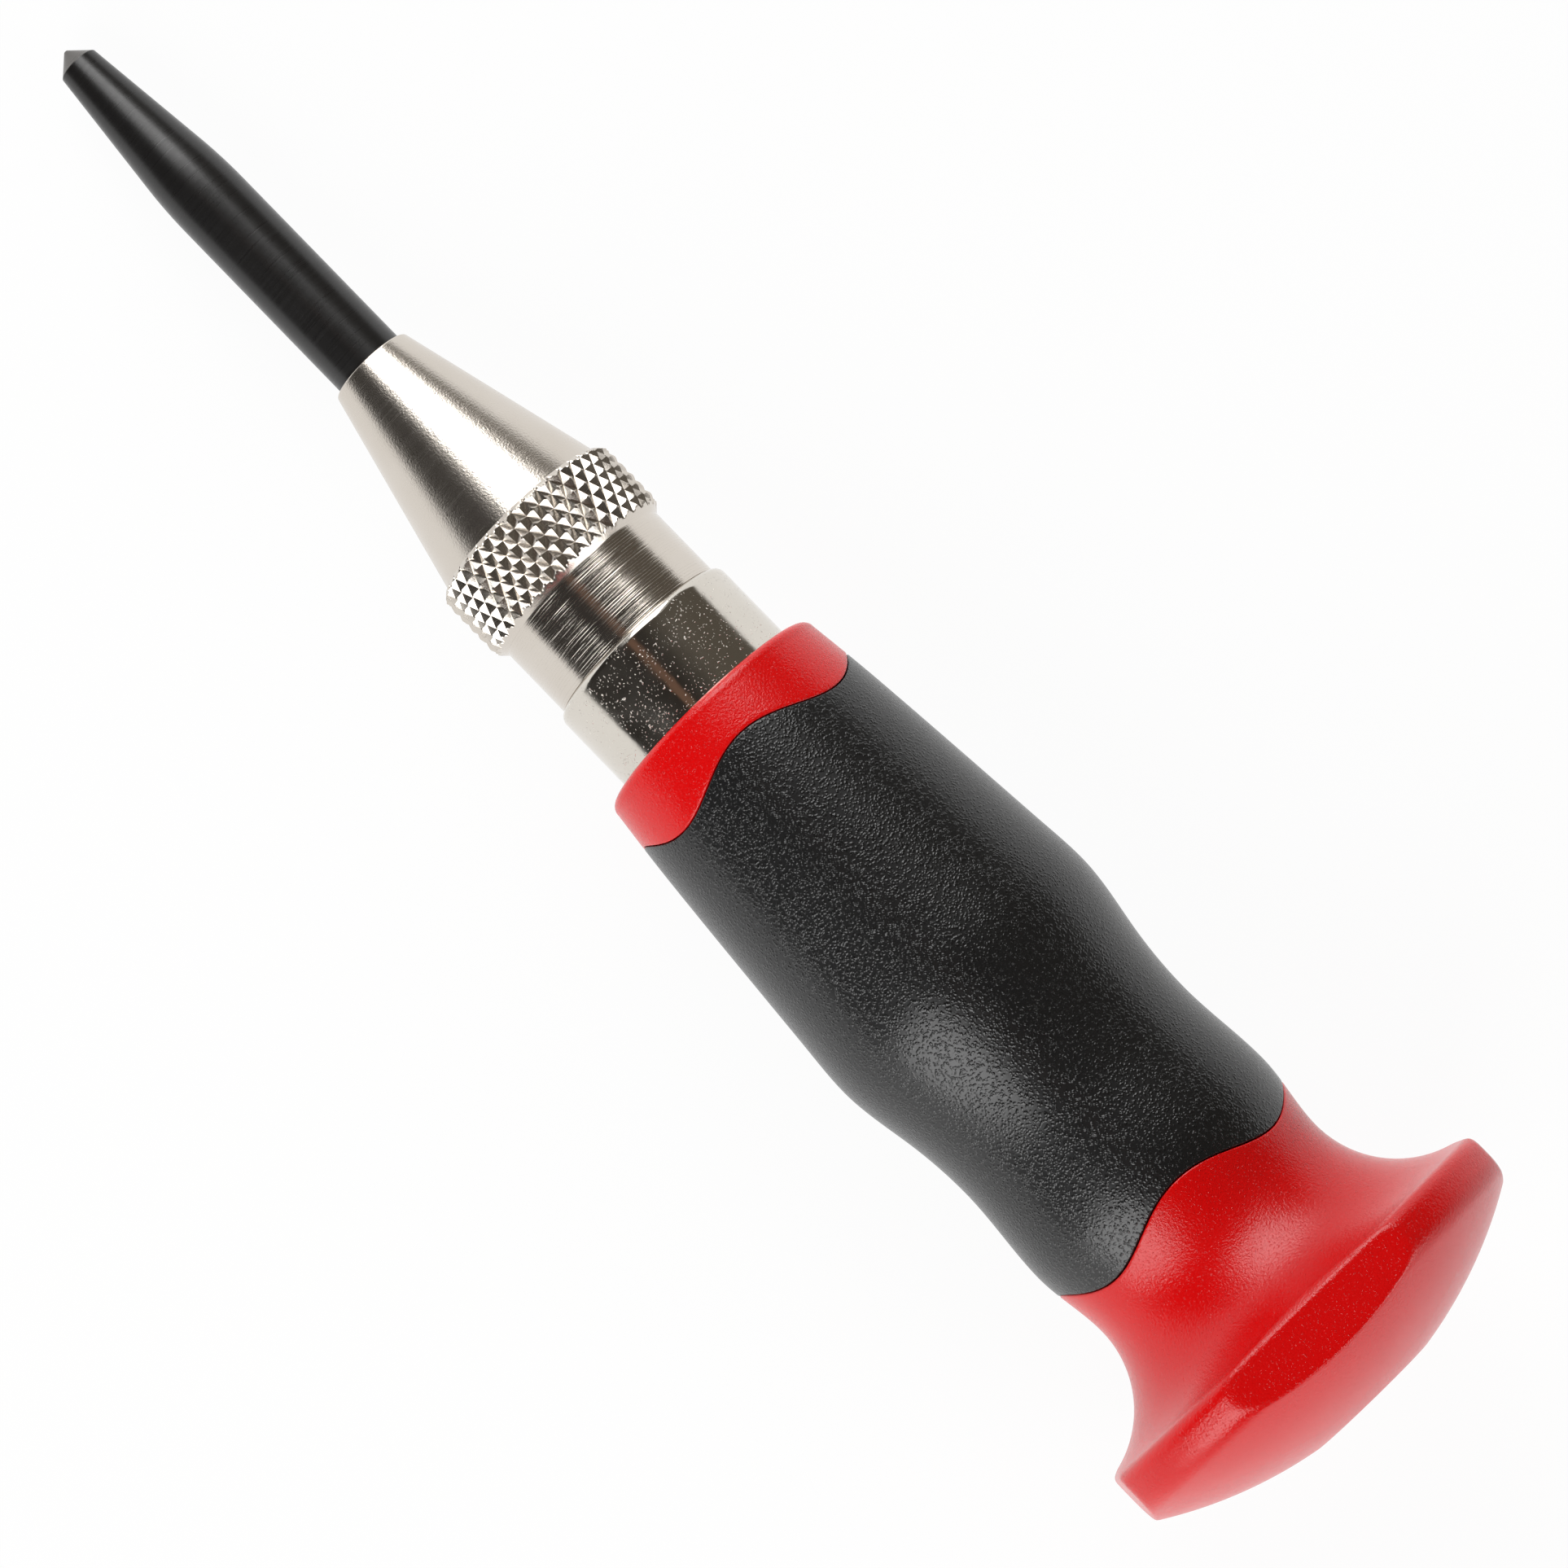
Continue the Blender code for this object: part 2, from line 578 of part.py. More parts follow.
def make_handle(red, black):
    """The red core, hollow behind the barrel, with its palm flats cut, and the grip between wavy edges."""
    bore_r = BARREL_R + GAP
    front_r = handle_radius(HANDLE_FRONT_Z + HANDLE_EDGE) - HANDLE_EDGE
    front_edge = arc((front_r, HANDLE_FRONT_Z + HANDLE_EDGE), HANDLE_EDGE, -90.0, 0.0, 3)

    def collar_end(angle):
        """Station where the red collar stops short of the grip."""
        return front_wave(angle) - GAP / 2

    def palm_start(angle):
        """Station where the red palm starts behind the grip."""
        return rear_wave(angle) + GAP / 2

    handle = loft("handle_core", [
        (PALM_CORE_END_Z, PALM_CORE_R), (HANDLE_BORE_END_Z, PALM_CORE_R), (HANDLE_BORE_END_Z, bore_r),
        (HANDLE_FRONT_Z, bore_r), *[(z, r) for r, z in front_edge],
        (lambda a: (HANDLE_FRONT_Z + front_wave(a)) / 2, on_handle),
        (collar_end, on_handle), (collar_end, GRIP_CORE_R),
        (palm_start, GRIP_CORE_R), (palm_start, on_handle),
        (lambda a: (rear_wave(a) + WAIST_Z) / 2, on_handle), *palm_profile(),
    ], OUTER_SEGMENTS, red)
    outside = -2 * RIM_R
    reach = FLAT_APOTHEM - WAIST_R
    flat_outline = [
        (outside, CROWN_Z), (-FLAT_APOTHEM, CROWN_Z), (-FLAT_APOTHEM, FLAT_FRONT_Z),
        (reach - FLAT_APOTHEM, FLAT_FRONT_Z - reach), (outside, FLAT_FRONT_Z - reach),
    ]
    flats = []
    for i in range(FLAT_COUNT):
        flat = add_cutter(f"palm_flat_{i}", prism_mesh(f"palm_flat_{i}", flat_outline, RIM_R))
        flat.rotation_euler = (0.0, 0.0, 2 * math.pi * i / FLAT_COUNT)
        flats.append(flat)
    cut(handle, *flats)

    def along(share):
        """A ring's stations at a share of the way from the grip's front edge to its rear edge."""
        def station(angle):
            low = front_wave(angle) + GAP / 2
            high = rear_wave(angle) - GAP / 2
            return low + (high - low) * share
        return station

    inner_r = GRIP_CORE_R + GAP
    steps = 14
    skin = [(along(i / steps), on_handle) for i in range(steps + 1)]
    lining = [(along(1.0), inner_r), (along(0.0), inner_r)]
    loft("grip_sleeve", skin + lining, OUTER_SEGMENTS, black, closed=True)


def lay_on_table():
    """Move the tool so that the middle of the underside of its box is at the world's origin."""
    bpy.context.view_layer.update()
    graph = bpy.context.evaluated_depsgraph_get()
    places = []
    for piece in PARTS.objects:
        if piece.type == "EMPTY":
            continue
        seen = piece.evaluated_get(graph)
        mesh = seen.to_mesh()
        places += [seen.matrix_world @ v.co for v in mesh.vertices]
        seen.to_mesh_clear()
    low = Vector(min(p[i] for p in places) for i in range(3))
    high = Vector(max(p[i] for p in places) for i in range(3))
    TOOL_AXIS.location -= Vector(((low.x + high.x) / 2, (low.y + high.y) / 2, low.z))
    bpy.context.view_layer.update()
    size = [round((b - a) / MM, 2) for a, b in zip(low, high)]
    tip = [round(v / MM, 4) for v in TOOL_AXIS.location]
    print(f"box {size} mm, lean {math.degrees(TILT):.3f} degrees, tip of the punch at {tip} mm")


BLACK_OXIDE = finish("black_oxide", (0.020, 0.019, 0.018), 0.38, 0.85)
NICKEL_NOSE = finish("nickel_nose", (0.62, 0.58, 0.53), 0.25, 1.0)
NICKEL_BARREL = finish("nickel_barrel", (0.60, 0.57, 0.52), 0.30, 1.0)
PLAIN_STEEL = finish("plain_steel", (0.42, 0.41, 0.39), 0.35, 1.0)
STRIKER_STEEL = finish("striker_steel", (0.36, 0.35, 0.34), 0.35, 1.0)
RED_PLASTIC = finish("red_plastic", (0.58, 0.005, 0.008), 0.38, 0.0)
BLACK_GRIP = finish("black_grip", (0.018, 0.018, 0.019), 0.6, 0.0)

make_punch(BLACK_OXIDE, PLAIN_STEEL)
make_nose(NICKEL_NOSE)
make_barrel(NICKEL_BARREL, PLAIN_STEEL)
make_hammer(STRIKER_STEEL)
make_handle(RED_PLASTIC, BLACK_GRIP)
lay_on_table()
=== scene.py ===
# %% [markdown]
# # An automatic center punch, dressed for its portrait
# A push-type punch: a black steel point slides in a plated, knurled nose, a plated barrel holds the
# trip hammer and its springs, and a red handle with a soft black grip ends in a knob for the palm. The
# CAD model gives every piece its place. This lesson replaces the pieces that show with finer surfaces
# worked out with numpy, and gives each one the finish that the real one has.

# %% Load the frame
import json
import math

import bmesh
import bpy
import numpy as np
from mathutils import Matrix


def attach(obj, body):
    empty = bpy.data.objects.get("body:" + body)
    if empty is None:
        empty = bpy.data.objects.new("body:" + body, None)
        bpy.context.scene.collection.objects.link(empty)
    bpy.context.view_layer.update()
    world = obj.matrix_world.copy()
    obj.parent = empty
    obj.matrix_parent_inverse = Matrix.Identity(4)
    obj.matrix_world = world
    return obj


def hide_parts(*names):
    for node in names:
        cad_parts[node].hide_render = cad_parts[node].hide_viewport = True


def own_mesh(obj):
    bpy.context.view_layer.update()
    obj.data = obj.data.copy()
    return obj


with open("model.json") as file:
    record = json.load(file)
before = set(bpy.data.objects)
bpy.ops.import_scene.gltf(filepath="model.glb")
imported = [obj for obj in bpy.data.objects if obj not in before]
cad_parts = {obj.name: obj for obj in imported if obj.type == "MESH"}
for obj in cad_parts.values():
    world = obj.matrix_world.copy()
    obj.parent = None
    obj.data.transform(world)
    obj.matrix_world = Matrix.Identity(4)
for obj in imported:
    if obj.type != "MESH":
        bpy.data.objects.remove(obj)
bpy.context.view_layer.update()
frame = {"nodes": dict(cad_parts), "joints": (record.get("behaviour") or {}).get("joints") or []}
print("CAD nodes:", ", ".join(sorted(frame["nodes"])))

# %% [markdown]
# ## One axis for everything
# Nearly every piece of this tool was turned or moulded round one axis, and the tool leans a little
# because it lies on its knurled band and on a flat of the palm knob. So a place is given as a maker
# would give it: a station along the axis from the tip, a radius, and an angle from the side that faces
# up. The nose's hinge in the CAD record lies on that axis, 64 mm from the tip, and so gives the axis
# and the tip.

# %% The tool's axis
MM = 0.001
MICRON = 1e-6
HINGE_STATION = 64.0
joints = {joint["name"]: joint for joint in frame["joints"]}
ALONG = np.array(joints["nose_turn"]["axis"]) / np.linalg.norm(joints["nose_turn"]["axis"])
SIDE = np.array((0.0, 1.0, 0.0))
UP = np.cross(ALONG, SIDE)
TIP = np.array(joints["nose_turn"]["pos_m"]) / MM - HINGE_STATION * ALONG
LEAN = math.atan2(ALONG[2], ALONG[0])
print("tip at", TIP.round(2), "mm, lean", round(math.degrees(LEAN), 2), "degrees")


def place(station, radius, angle):
    """Metres: TIP + station * ALONG + radius * (cos(angle) * UP + sin(angle) * SIDE), from millimetres."""
    station, radius, angle = (part[..., None] for part in np.broadcast_arrays(station, radius, angle))
    return (TIP + station * ALONG + radius * (np.cos(angle) * UP + np.sin(angle) * SIDE)) * MM


def round_angles(count):
    """Equal angles round the tool: 2 pi j / count."""
    return 2 * np.pi * np.arange(count) / count


# %% [markdown]
# ## Profiles with broken edges
# A turned piece is a profile carried round the axis. Sharp CAD corners catch no light, but a real edge
# has a small radius that shows as a bright line. A Bevel modifier could round them; here the fillets
# are in the profile itself, so every edge has the radius that it needs. Close to each end of a straight
# run there is one more row, a guard, which keeps the run's shading flat up to the fillet.

# %% Fillets and guard rows
GUARD = 0.06


def rounded(corners, steps=6):
    """(station, radius) points through corners of (station, radius, fillet).

    Where the path turns by T, the arc starts fillet * tan(T / 2) before the corner, and its centre is
    fillet / cos(T / 2) from it, inside."""
    path = []
    for k, (station, radius, fillet) in enumerate(corners):
        here = np.array((station, radius))
        if fillet == 0:
            path.append(here[None])
            continue
        ways = [np.array(corners[k + step][:2]) - here for step in (-1, 1)]
        back, ahead = (way / np.linalg.norm(way) for way in ways)
        turn = math.acos(-back @ ahead)
        inside = (back + ahead) / np.linalg.norm(back + ahead)
        centre = here + inside * fillet / math.cos(turn / 2)
        first, last = (here + way * fillet * math.tan(turn / 2) - centre for way in (back, ahead))
        t = np.linspace(0, 1, steps + 1)[:, None]
        path.append(centre + (np.sin((1 - t) * turn) * first + np.sin(t * turn) * last) / math.sin(turn))
    return np.concatenate(path)


def guarded(path):
    """The path with a point GUARD from both ends of every run that is longer than four guards."""
    run = np.diff(path, axis=0)
    length = np.linalg.norm(run, axis=1)
    share = (GUARD / length)[:, None]
    points = np.stack([path[:-1], path[:-1] + share * run, path[1:] - share * run], axis=1)
    keep = np.ones(points.shape[:2], bool)
    keep[:, 1:] = (length > 4 * GUARD)[:, None]
    return np.concatenate([points[keep], path[-1:]])


square_corner = rounded([(0, 0, 0), (0, 1, 0.3), (1, 1, 0)], 2)
print("a square corner with a 0.3 mm fillet:", square_corner.round(3).tolist())

# %% [markdown]
# ## From a grid of points to a piece
# Every surface here is a grid: rows follow the profile and columns go round. The first row may meet the
# last, as on a tube with a bore, and a row of radius nought is a pole, whose points are merged into
# one. The UV map keeps the length along the profile and the share of a turn, so that a brushed finish
# knows which way it runs.

# %% Grid surfaces
WELD = 1e-7


def skin(name, points, ends_meet=False, main_split=None):
    """A mesh on a (rows, columns, 3) grid that closes round the tool.

    Quad i, j runs (i, j), (i + 1, j), (i + 1, j + 1), (i, j + 1), which faces outward where rows run to
    the rear. main_split, one truth for each quad, cuts quads in two: from (i, j) where it is true, and
    across that where it is not."""
    rows, columns = points.shape[:2]
    i, j = np.meshgrid(np.arange(rows if ends_meet else rows - 1), np.arange(columns), indexing="ij")
    corners = ((i, j), (i + 1, j), (i + 1, j + 1), (i, j + 1))
    quads = np.stack([np.stack(corner, -1) for corner in corners], 2)
    if main_split is None:
        faces = quads.reshape(-1, 4, 2)
    else:
        main = np.stack([quads[:, :, [0, 1, 2]], quads[:, :, [0, 2, 3]]], 2)
        cross = np.stack([quads[:, :, [0, 1, 3]], quads[:, :, [1, 2, 3]]], 2)
        faces = np.where(main_split[..., None, None, None], main, cross).reshape(-1, 3, 2)
    mesh = bpy.data.meshes.new(name)
    index = faces[..., 0] % rows * columns + faces[..., 1] % columns
    mesh.from_pydata(points.reshape(-1, 3).tolist(), [], index.tolist())
    steps = np.linalg.norm(np.diff(points, axis=0, append=points[:1]), axis=-1).mean(1) / MM
    length = np.concatenate([[0.0], np.cumsum(steps)])
    uv = np.stack([length[faces[..., 0]], faces[..., 1] / columns], -1)
    mesh.uv_layers.new(name="UVMap").data.foreach_set("uv", uv.astype(np.float32).ravel())
    body = bmesh.new()
    body.from_mesh(mesh)
    bmesh.ops.remove_doubles(body, verts=body.verts, dist=WELD)
    body.to_mesh(mesh)
    body.free()
    return mesh


def rows_of(path):
    """A round profile as one column of stations and one of radii."""
    return path[:, :1], path[:, 1:]


def stacked(parts, columns):
    """The rows of several parts one after another, as stations and radii on so many columns."""
    return [np.concatenate([np.broadcast_to(part[k], (len(part[k]), columns)) for part in parts])
            for k in (0, 1)]


def add_piece(mesh, finish, body, node, sharp=40.0):
    """Shade a mesh, link it and let it stand for its CAD node."""
    mesh.materials.append(finish)
    mesh.shade_smooth()
    mesh.set_sharp_from_angle(angle=math.radians(sharp))
    piece = bpy.data.objects.new(mesh.name, mesh)
    bpy.context.scene.collection.objects.link(piece)
    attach(piece, body)
    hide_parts(node)
    mesh.calc_loop_triangles()
    print(f"{piece.name}: {len(mesh.loop_triangles)} triangles, stands for {node}")
    return piece


# %% [markdown]
# ## Finishes in the tool's own millimetres
# A finish is a small network of nodes. All of them read Object coordinates, turned and moved by a
# Mapping node so that X is the station in millimetres, Y the way to the side and Z the way up from the
# axis. A mark of 0.4 mm is then written as 0.4 mm, and a turning mark is noise that is fine along X and
# long round the tool.

# %% Node helpers


def new_finish(name):
    """A material with its node tree and its Principled shader."""
    material = bpy.data.materials.new(name)
    material.use_nodes = True
    return material, material.node_tree, material.node_tree.nodes["Principled BSDF"]


def node(tree, kind, sockets, **settings):
    """A shader node. A socket given another node's output is linked, and any other value is set."""
    made = tree.nodes.new("ShaderNode" + kind)
    for key, value in settings.items():
        setattr(made, key, value)
    for key, value in sockets.items():
        if isinstance(value, bpy.types.NodeSocket):
            tree.links.new(value, made.inputs[key])
        else:
            made.inputs[key].default_value = value
    return made


def tool_place(tree):
    """Millimetres along, beside and above the axis: turned by LEAN, with the tip at nought."""
    turn = np.array(Matrix.Rotation(LEAN, 3, "Y"))
    shift = -turn @ TIP
    spot = node(tree, "TexCoord", {}).outputs["Object"]
    mapped = node(tree, "Mapping", {
        "Vector": spot, "Location": shift.tolist(), "Rotation": (0.0, LEAN, 0.0), "Scale": (1 / MM,) * 3})
    return mapped.outputs["Vector"]


def noise(tree, spot, scale, detail=2.0, roughness=0.5):
    """Noise between 0 and 1 with so many bumps to the millimetre along each axis."""
    scaled = node(tree, "Mapping", {"Vector": spot, "Scale": scale})
    made = node(tree, "TexNoise", {
        "Vector": scaled.outputs["Vector"], "Scale": 1.0, "Detail": detail, "Roughness": roughness})
    return made.outputs["Fac"]


def remap(tree, value, low, high, to_low, to_high, smooth=False):
    """A value stretched from one span to another, and held at its ends."""
    made = node(tree, "MapRange", {
        "Value": value, "From Min": low, "From Max": high, "To Min": to_low, "To Max": to_high})
    made.interpolation_type = "SMOOTHSTEP" if smooth else "LINEAR"
    return made.outputs["Result"]


def blend(tree, share, first, second):
    """A colour between two."""
    made = node(tree, "Mix", {"Factor": share}, data_type="RGBA")
    for socket, value in zip((made.inputs[6], made.inputs[7]), (first, second)):
        if isinstance(value, bpy.types.NodeSocket):
            tree.links.new(value, socket)
        else:
            socket.default_value = (*value, 1.0)
    return made.outputs[2]


def sums(tree, operation, first, second=0.0):
    """One step of arithmetic on one or two values."""
    return node(tree, "Math", {0: first, 1: second}, operation=operation).outputs[0]


def relief(tree, height, distance, under=None):
    """A bump whose height of 1 stands so many metres proud, on top of the one under it."""
    sockets = {"Height": height, "Distance": distance, "Strength": 1.0}
    if under is not None:
        sockets["Normal"] = under
    return node(tree, "Bump", sockets).outputs["Normal"]


def station_of(tree, spot):
    """The station of a point, in millimetres."""
    return node(tree, "SeparateXYZ", {"Vector": spot}).outputs["X"]


def join(tree, shader, **sockets):
    """Link values to the shader, with underscores for the spaces in its sockets' names."""
    for key, value in sockets.items():
        tree.links.new(value, shader.inputs[key.replace("_", " ")])


# %% [markdown]
# ## Black oxide on the point
# The point is turned and ground tool steel, dipped until it is blue-black. The oxide is thin, so the
# turning marks stay and catch a grey streak of light. The cone at the very tip is ground after the dip
# and shows bare, dull steel. A station test in the finish parts the two, because on the real point they
# are one piece of metal.

# %% Black oxide finish
CONE_Z = 1.8


def black_oxide_finish():
    """Dark steel with turning marks, and a ground cone ahead of CONE_Z."""
    material, tree, shader = new_finish("black_oxide_on_steel")
    spot = tool_place(tree)
    marks = noise(tree, spot, (7.0, 0.12, 0.12), 4.0, 0.65)
    cloud = noise(tree, spot, (0.25, 0.3, 0.3), 3.0)
    dipped = blend(tree, cloud, (0.0065, 0.0060, 0.0060), (0.012, 0.0110, 0.0105))
    ground = blend(tree, marks, (0.050, 0.045, 0.040), (0.095, 0.087, 0.078))
    bare = remap(tree, station_of(tree, spot), CONE_Z - 0.06, CONE_Z + 0.04, 1.0, 0.0)
    roughness = remap(tree, marks, 0.3, 0.7, 0.26, 0.35)
    join(tree, shader, Base_Color=blend(tree, bare, dipped, ground), Roughness=roughness,
         Normal=relief(tree, marks, 8 * MICRON))
    shader.inputs["Metallic"].default_value = 0.2
    shader.inputs["Specular IOR Level"].default_value = 0.75
    return material


black_oxide = black_oxide_finish()
print("made", black_oxide.name)

# %% [markdown]
# ## The point
# A 45-degree cone with a tiny flat, a long taper that runs out into a plain rod, and inside the nose a
# collar that stops it and a shank that sits in the plunger. A cylinder with a cone on it would show a
# crease where the taper ends. The real one is blended, so that corner has a fillet of 52 mm.

# %% The point
ROUND = 160
point_path = guarded(rounded([
    (0.0, 0.0, 0), (0.0, 0.2, 0.05), (CONE_Z, 2.0, 0.06), (17.28, 3.61, 52.0), (50.3, 3.61, 0.15),
    (50.3, 5.7, 0.3), (53.3, 5.7, 0.3), (53.3, 2.5, 0.2), (62.0, 2.5, 0.4), (62.0, 0.0, 0),
]))
angles = round_angles(ROUND)
point_mesh = skin("steel_point", place(*rows_of(point_path), angles[None]))
add_piece(point_mesh, black_oxide, "punch", "punch_point")

# %% [markdown]
# ## Bright nickel on the nose
# The nose is turned, then plated, and the plate follows every turning mark. Fine grooves round a piece
# spread light along it, which draws the long bands down the cone. That is anisotropy, and its direction
# comes from the UV map, whose U runs along the profile. The plate on the cone is a little pitted, which
# makes the edges of its bands grainy. The relief neck is smoother, but there the tool was fed faster
# and left coarse marks, which are saw-toothed like the tool that cut them.

# %% Nickel finish of the nose
KNURL_FRONT = 61.2
NECK_FRONT = 68.6
FEED = 3.8
SMOOTHER_NECK = 0.09


def nickel_finish(name, tint, shade, brushed):
    """Plated steel: two close tints, turning marks and a tangent along the profile."""
    material, tree, shader = new_finish(name)
    spot = tool_place(tree)
    tangent = node(tree, "Tangent", {}, direction_type="UV_MAP", uv_map="UVMap")
    join(tree, shader, Base_Color=blend(tree, noise(tree, spot, (0.2,) * 3), tint, shade),
         Tangent=tangent.outputs["Tangent"])
    shader.inputs["Metallic"].default_value = 1.0
    shader.inputs["Anisotropic"].default_value = brushed
    return material, tree, shader, spot


def nose_finish():
    """Pits on the cone, a fine grain and turning marks all over, and feed marks on the smoother neck.

    The feed marks' height is fract(station * FEED), so their long sides lean toward the tip."""
    material, tree, shader, spot = nickel_finish(
        "bright_nickel_over_turning_marks",
        tint=(0.69, 0.64, 0.58), shade=(0.64, 0.585, 0.52), brushed=0.35)
    station = station_of(tree, spot)
    on_neck = remap(tree, station, NECK_FRONT - 0.1, NECK_FRONT + 0.1, 0.0, 1.0)
    on_cone = remap(tree, station, KNURL_FRONT - 0.1, KNURL_FRONT, 1.0, 0.0)
    pits = sums(tree, "MULTIPLY", noise(tree, spot, (6.0, 4.5, 4.5), 3.0), on_cone)
    pitted = relief(tree, pits, 19 * MICRON)
    grain = relief(tree, noise(tree, spot, (7.0,) * 3, 2.0), 6 * MICRON, under=pitted)
    fine = noise(tree, spot, (9.0, 0.10, 0.10), 5.0, 0.7)
    deep = remap(tree, noise(tree, spot, (5.0, 0.05, 0.05), 3.0, 0.6), 0.32, 0.68, 0.0, 1.0)
    saw = sums(tree, "FRACT", sums(tree, "MULTIPLY", station, FEED))
    feed = sums(tree, "MULTIPLY", sums(tree, "MULTIPLY", saw, deep), on_neck)
    satin = remap(tree, fine, 0.3, 0.7, 0.22, 0.28)
    smoother = sums(tree, "MULTIPLY", on_neck, SMOOTHER_NECK)
    join(tree, shader, Roughness=sums(tree, "SUBTRACT", satin, smoother),
         Normal=relief(tree, feed, 25 * MICRON, under=relief(tree, fine, 4 * MICRON, under=grain)))
    return material


nose_nickel = nose_finish()
print("made", nose_nickel.name)

# %% [markdown]
# ## The knurled nose
# Two sets of rolled grooves cross on the band and leave rows of small pyramids. A bump map would look
# flat at the edge of the band, so the pyramids are modelled. With p and q counting the grooves of both
# hands, the height is that of the lower of two roofs, min(roof(p), roof(q)). Every quad is cut along
# its groove, so the valleys stay sharp, and both ends of the band are chamfered by the lower of two
# cones.

# %% Knurl
KNURL_COUNT = 40
KNURL_R = 10.15
KNURL_DEPTH = 0.54
KNURL_REAR = 68.15
HALF_ROWS = 6
HALF_ROW = (KNURL_REAR - KNURL_FRONT) / HALF_ROWS
FINE = 6
EDGE_ROWS = 2
WORN = 0.05
BAND_FRONT_R = 9.5
BAND_REAR_R = 9.25


def roof(x):
    """1 on whole numbers and 0 half-way between them, with straight sides: 1 - 2 |x - round(x)|."""
    return 1 - 2 * np.abs(x - np.round(x))


nose_angles = round_angles(2 * KNURL_COUNT * FINE)
knurl_rows = np.arange(-EDGE_ROWS, HALF_ROWS * FINE + EDGE_ROWS + 1)
knurl_station = (KNURL_FRONT + knurl_rows * HALF_ROW / FINE)[:, None]
turns = nose_angles[None] * KNURL_COUNT / (2 * np.pi)
climb = (knurl_station - KNURL_FRONT) / (2 * HALF_ROW)
pyramid = np.minimum(roof(turns + climb), roof(turns - climb))
knurl_radius = np.minimum(KNURL_R - KNURL_DEPTH * (1 - pyramid), KNURL_R - WORN)
front_chamfer = BAND_FRONT_R + (knurl_station - knurl_station[0])
rear_chamfer = BAND_REAR_R + (knurl_station[-1] - knurl_station)
knurl_radius = np.minimum(knurl_radius, np.minimum(front_chamfer, rear_chamfer))
print("knurl: radius", knurl_radius.min().round(2), "to", knurl_radius.max().round(2), "mm")

# %% [markdown]
# The rest of the nose is a turned profile on both sides of the band: the cone ahead, the neck and the
# screwed spigot behind, then the bore back to the front. The rows of the band go between, and the last
# row meets the first, so the nose is one closed body with a real hole for the point.

# %% The nose
cone_path = guarded(rounded([(40.87, 3.91, 0), (40.87, 4.23, 0.2), (60.75, 9.12, 0)]))
bore_path = guarded(rounded([
    (NECK_FRONT, 9.2, 0), (75.98, 9.2, 0.05), (75.98, 8.3, 0), (82.0, 8.3, 0.4), (82.0, 6.2, 0.2),
    (50.0, 6.2, 0), (50.0, 3.91, 0), (40.89, 3.91, 0),
]))
nose_parts = [rows_of(cone_path), (knurl_station, knurl_radius), rows_of(bore_path)]
nose_station, nose_radius = stacked(nose_parts, len(nose_angles))
row_block = (np.arange(len(nose_station)) - len(cone_path) + knurl_rows[0]) // FINE
column_block = np.arange(len(nose_angles)) // FINE
groove_split = (row_block[:, None] + column_block[None]) % 2 == 1
nose_mesh = skin("knurled_nose", place(nose_station, nose_radius, nose_angles[None]), True, groove_split)
add_piece(nose_mesh, nose_nickel, "nose", "nose_cone", sharp=28.0)

# %% [markdown]
# ## The barrel
# The barrel is drawn tube under thick plate. The plate is smooth, but dust under it left sparse bright
# grains, so the finish has a low bump and a few high specks, each of which finds a lamp somewhere. Only
# its front end shows, with a rounded lip; behind, inside the handle, it has the groove, the trip ramp
# and the plug's seat.

# %% Nickel finish of the barrel


def barrel_finish():
    """Smooth plate with sparse grains: a height that rises only where fine noise is near its top."""
    material, tree, shader, spot = nickel_finish(
        "bright_nickel_over_grains",
        tint=(0.72, 0.68, 0.62), shade=(0.66, 0.62, 0.555), brushed=0.15)
    grain = noise(tree, spot, (5.0,) * 3, 1.0)
    patch = noise(tree, spot, (0.35,) * 3, 2.0)
    level = remap(tree, patch, 0.35, 0.7, 0.70, 0.635)
    specks = remap(tree, sums(tree, "SUBTRACT", grain, level), 0.0, 0.12, 0.0, 1.0, smooth=True)
    swell = relief(tree, noise(tree, spot, (0.8,) * 3, 2.0), 12 * MICRON)
    join(tree, shader, Roughness=remap(tree, patch, 0.3, 0.7, 0.10, 0.17),
         Normal=relief(tree, specks, 60 * MICRON, under=swell))
    return material


barrel_nickel = barrel_finish()
print("made", barrel_nickel.name)

# %% The barrel
barrel_path = guarded(rounded([
    (76.0, 8.6, 0), (76.0, 9.87, 0.8), (152.0, 9.87, 0.3), (152.0, 7.6, 0.2), (148.6, 7.6, 0),
    (148.6, 6.267, 0), (110.0, 6.267, 0), (96.0, 8.6, 0), (93.85, 8.6, 0), (93.85, 9.2, 0),
    (92.35, 9.2, 0), (92.35, 8.6, 0), (76.02, 8.6, 0),
]))
barrel_mesh = skin("plated_barrel", place(*rows_of(barrel_path), angles[None]), True)
add_piece(barrel_mesh, barrel_nickel, "housing", "barrel")

# %% [markdown]
# ## The handle's hand-shaped profile
# The red core and the black grip share one outer profile, which swells for the palm, narrows for the
# fingers and swells again. It is drawn through eight stations, each with a radius and a slope, by cubic
# arcs, so that it has no kinks. Two waves with four lobes round the handle part the red from the black.

# %% Handle profile
HANDLE_STATIONS = np.array([
    (85.05, 12.06, 0.120), (93.6, 13.00, 0.090), (112.0, 14.50, 0.078), (117.7, 14.87, 0.0),
    (124.5, 14.00, -0.175), (132.1, 13.32, 0.0), (141.6, 13.90, 0.0), (148.95, 13.14, 0.0),
])
HANDLE_ROUND = 384
LOBES = 4
SEAM = 0.04
SEAM_EDGE = 0.16
CORE_R = 11.4
WAIST_Z, WAIST_R = HANDLE_STATIONS[-1, :2]


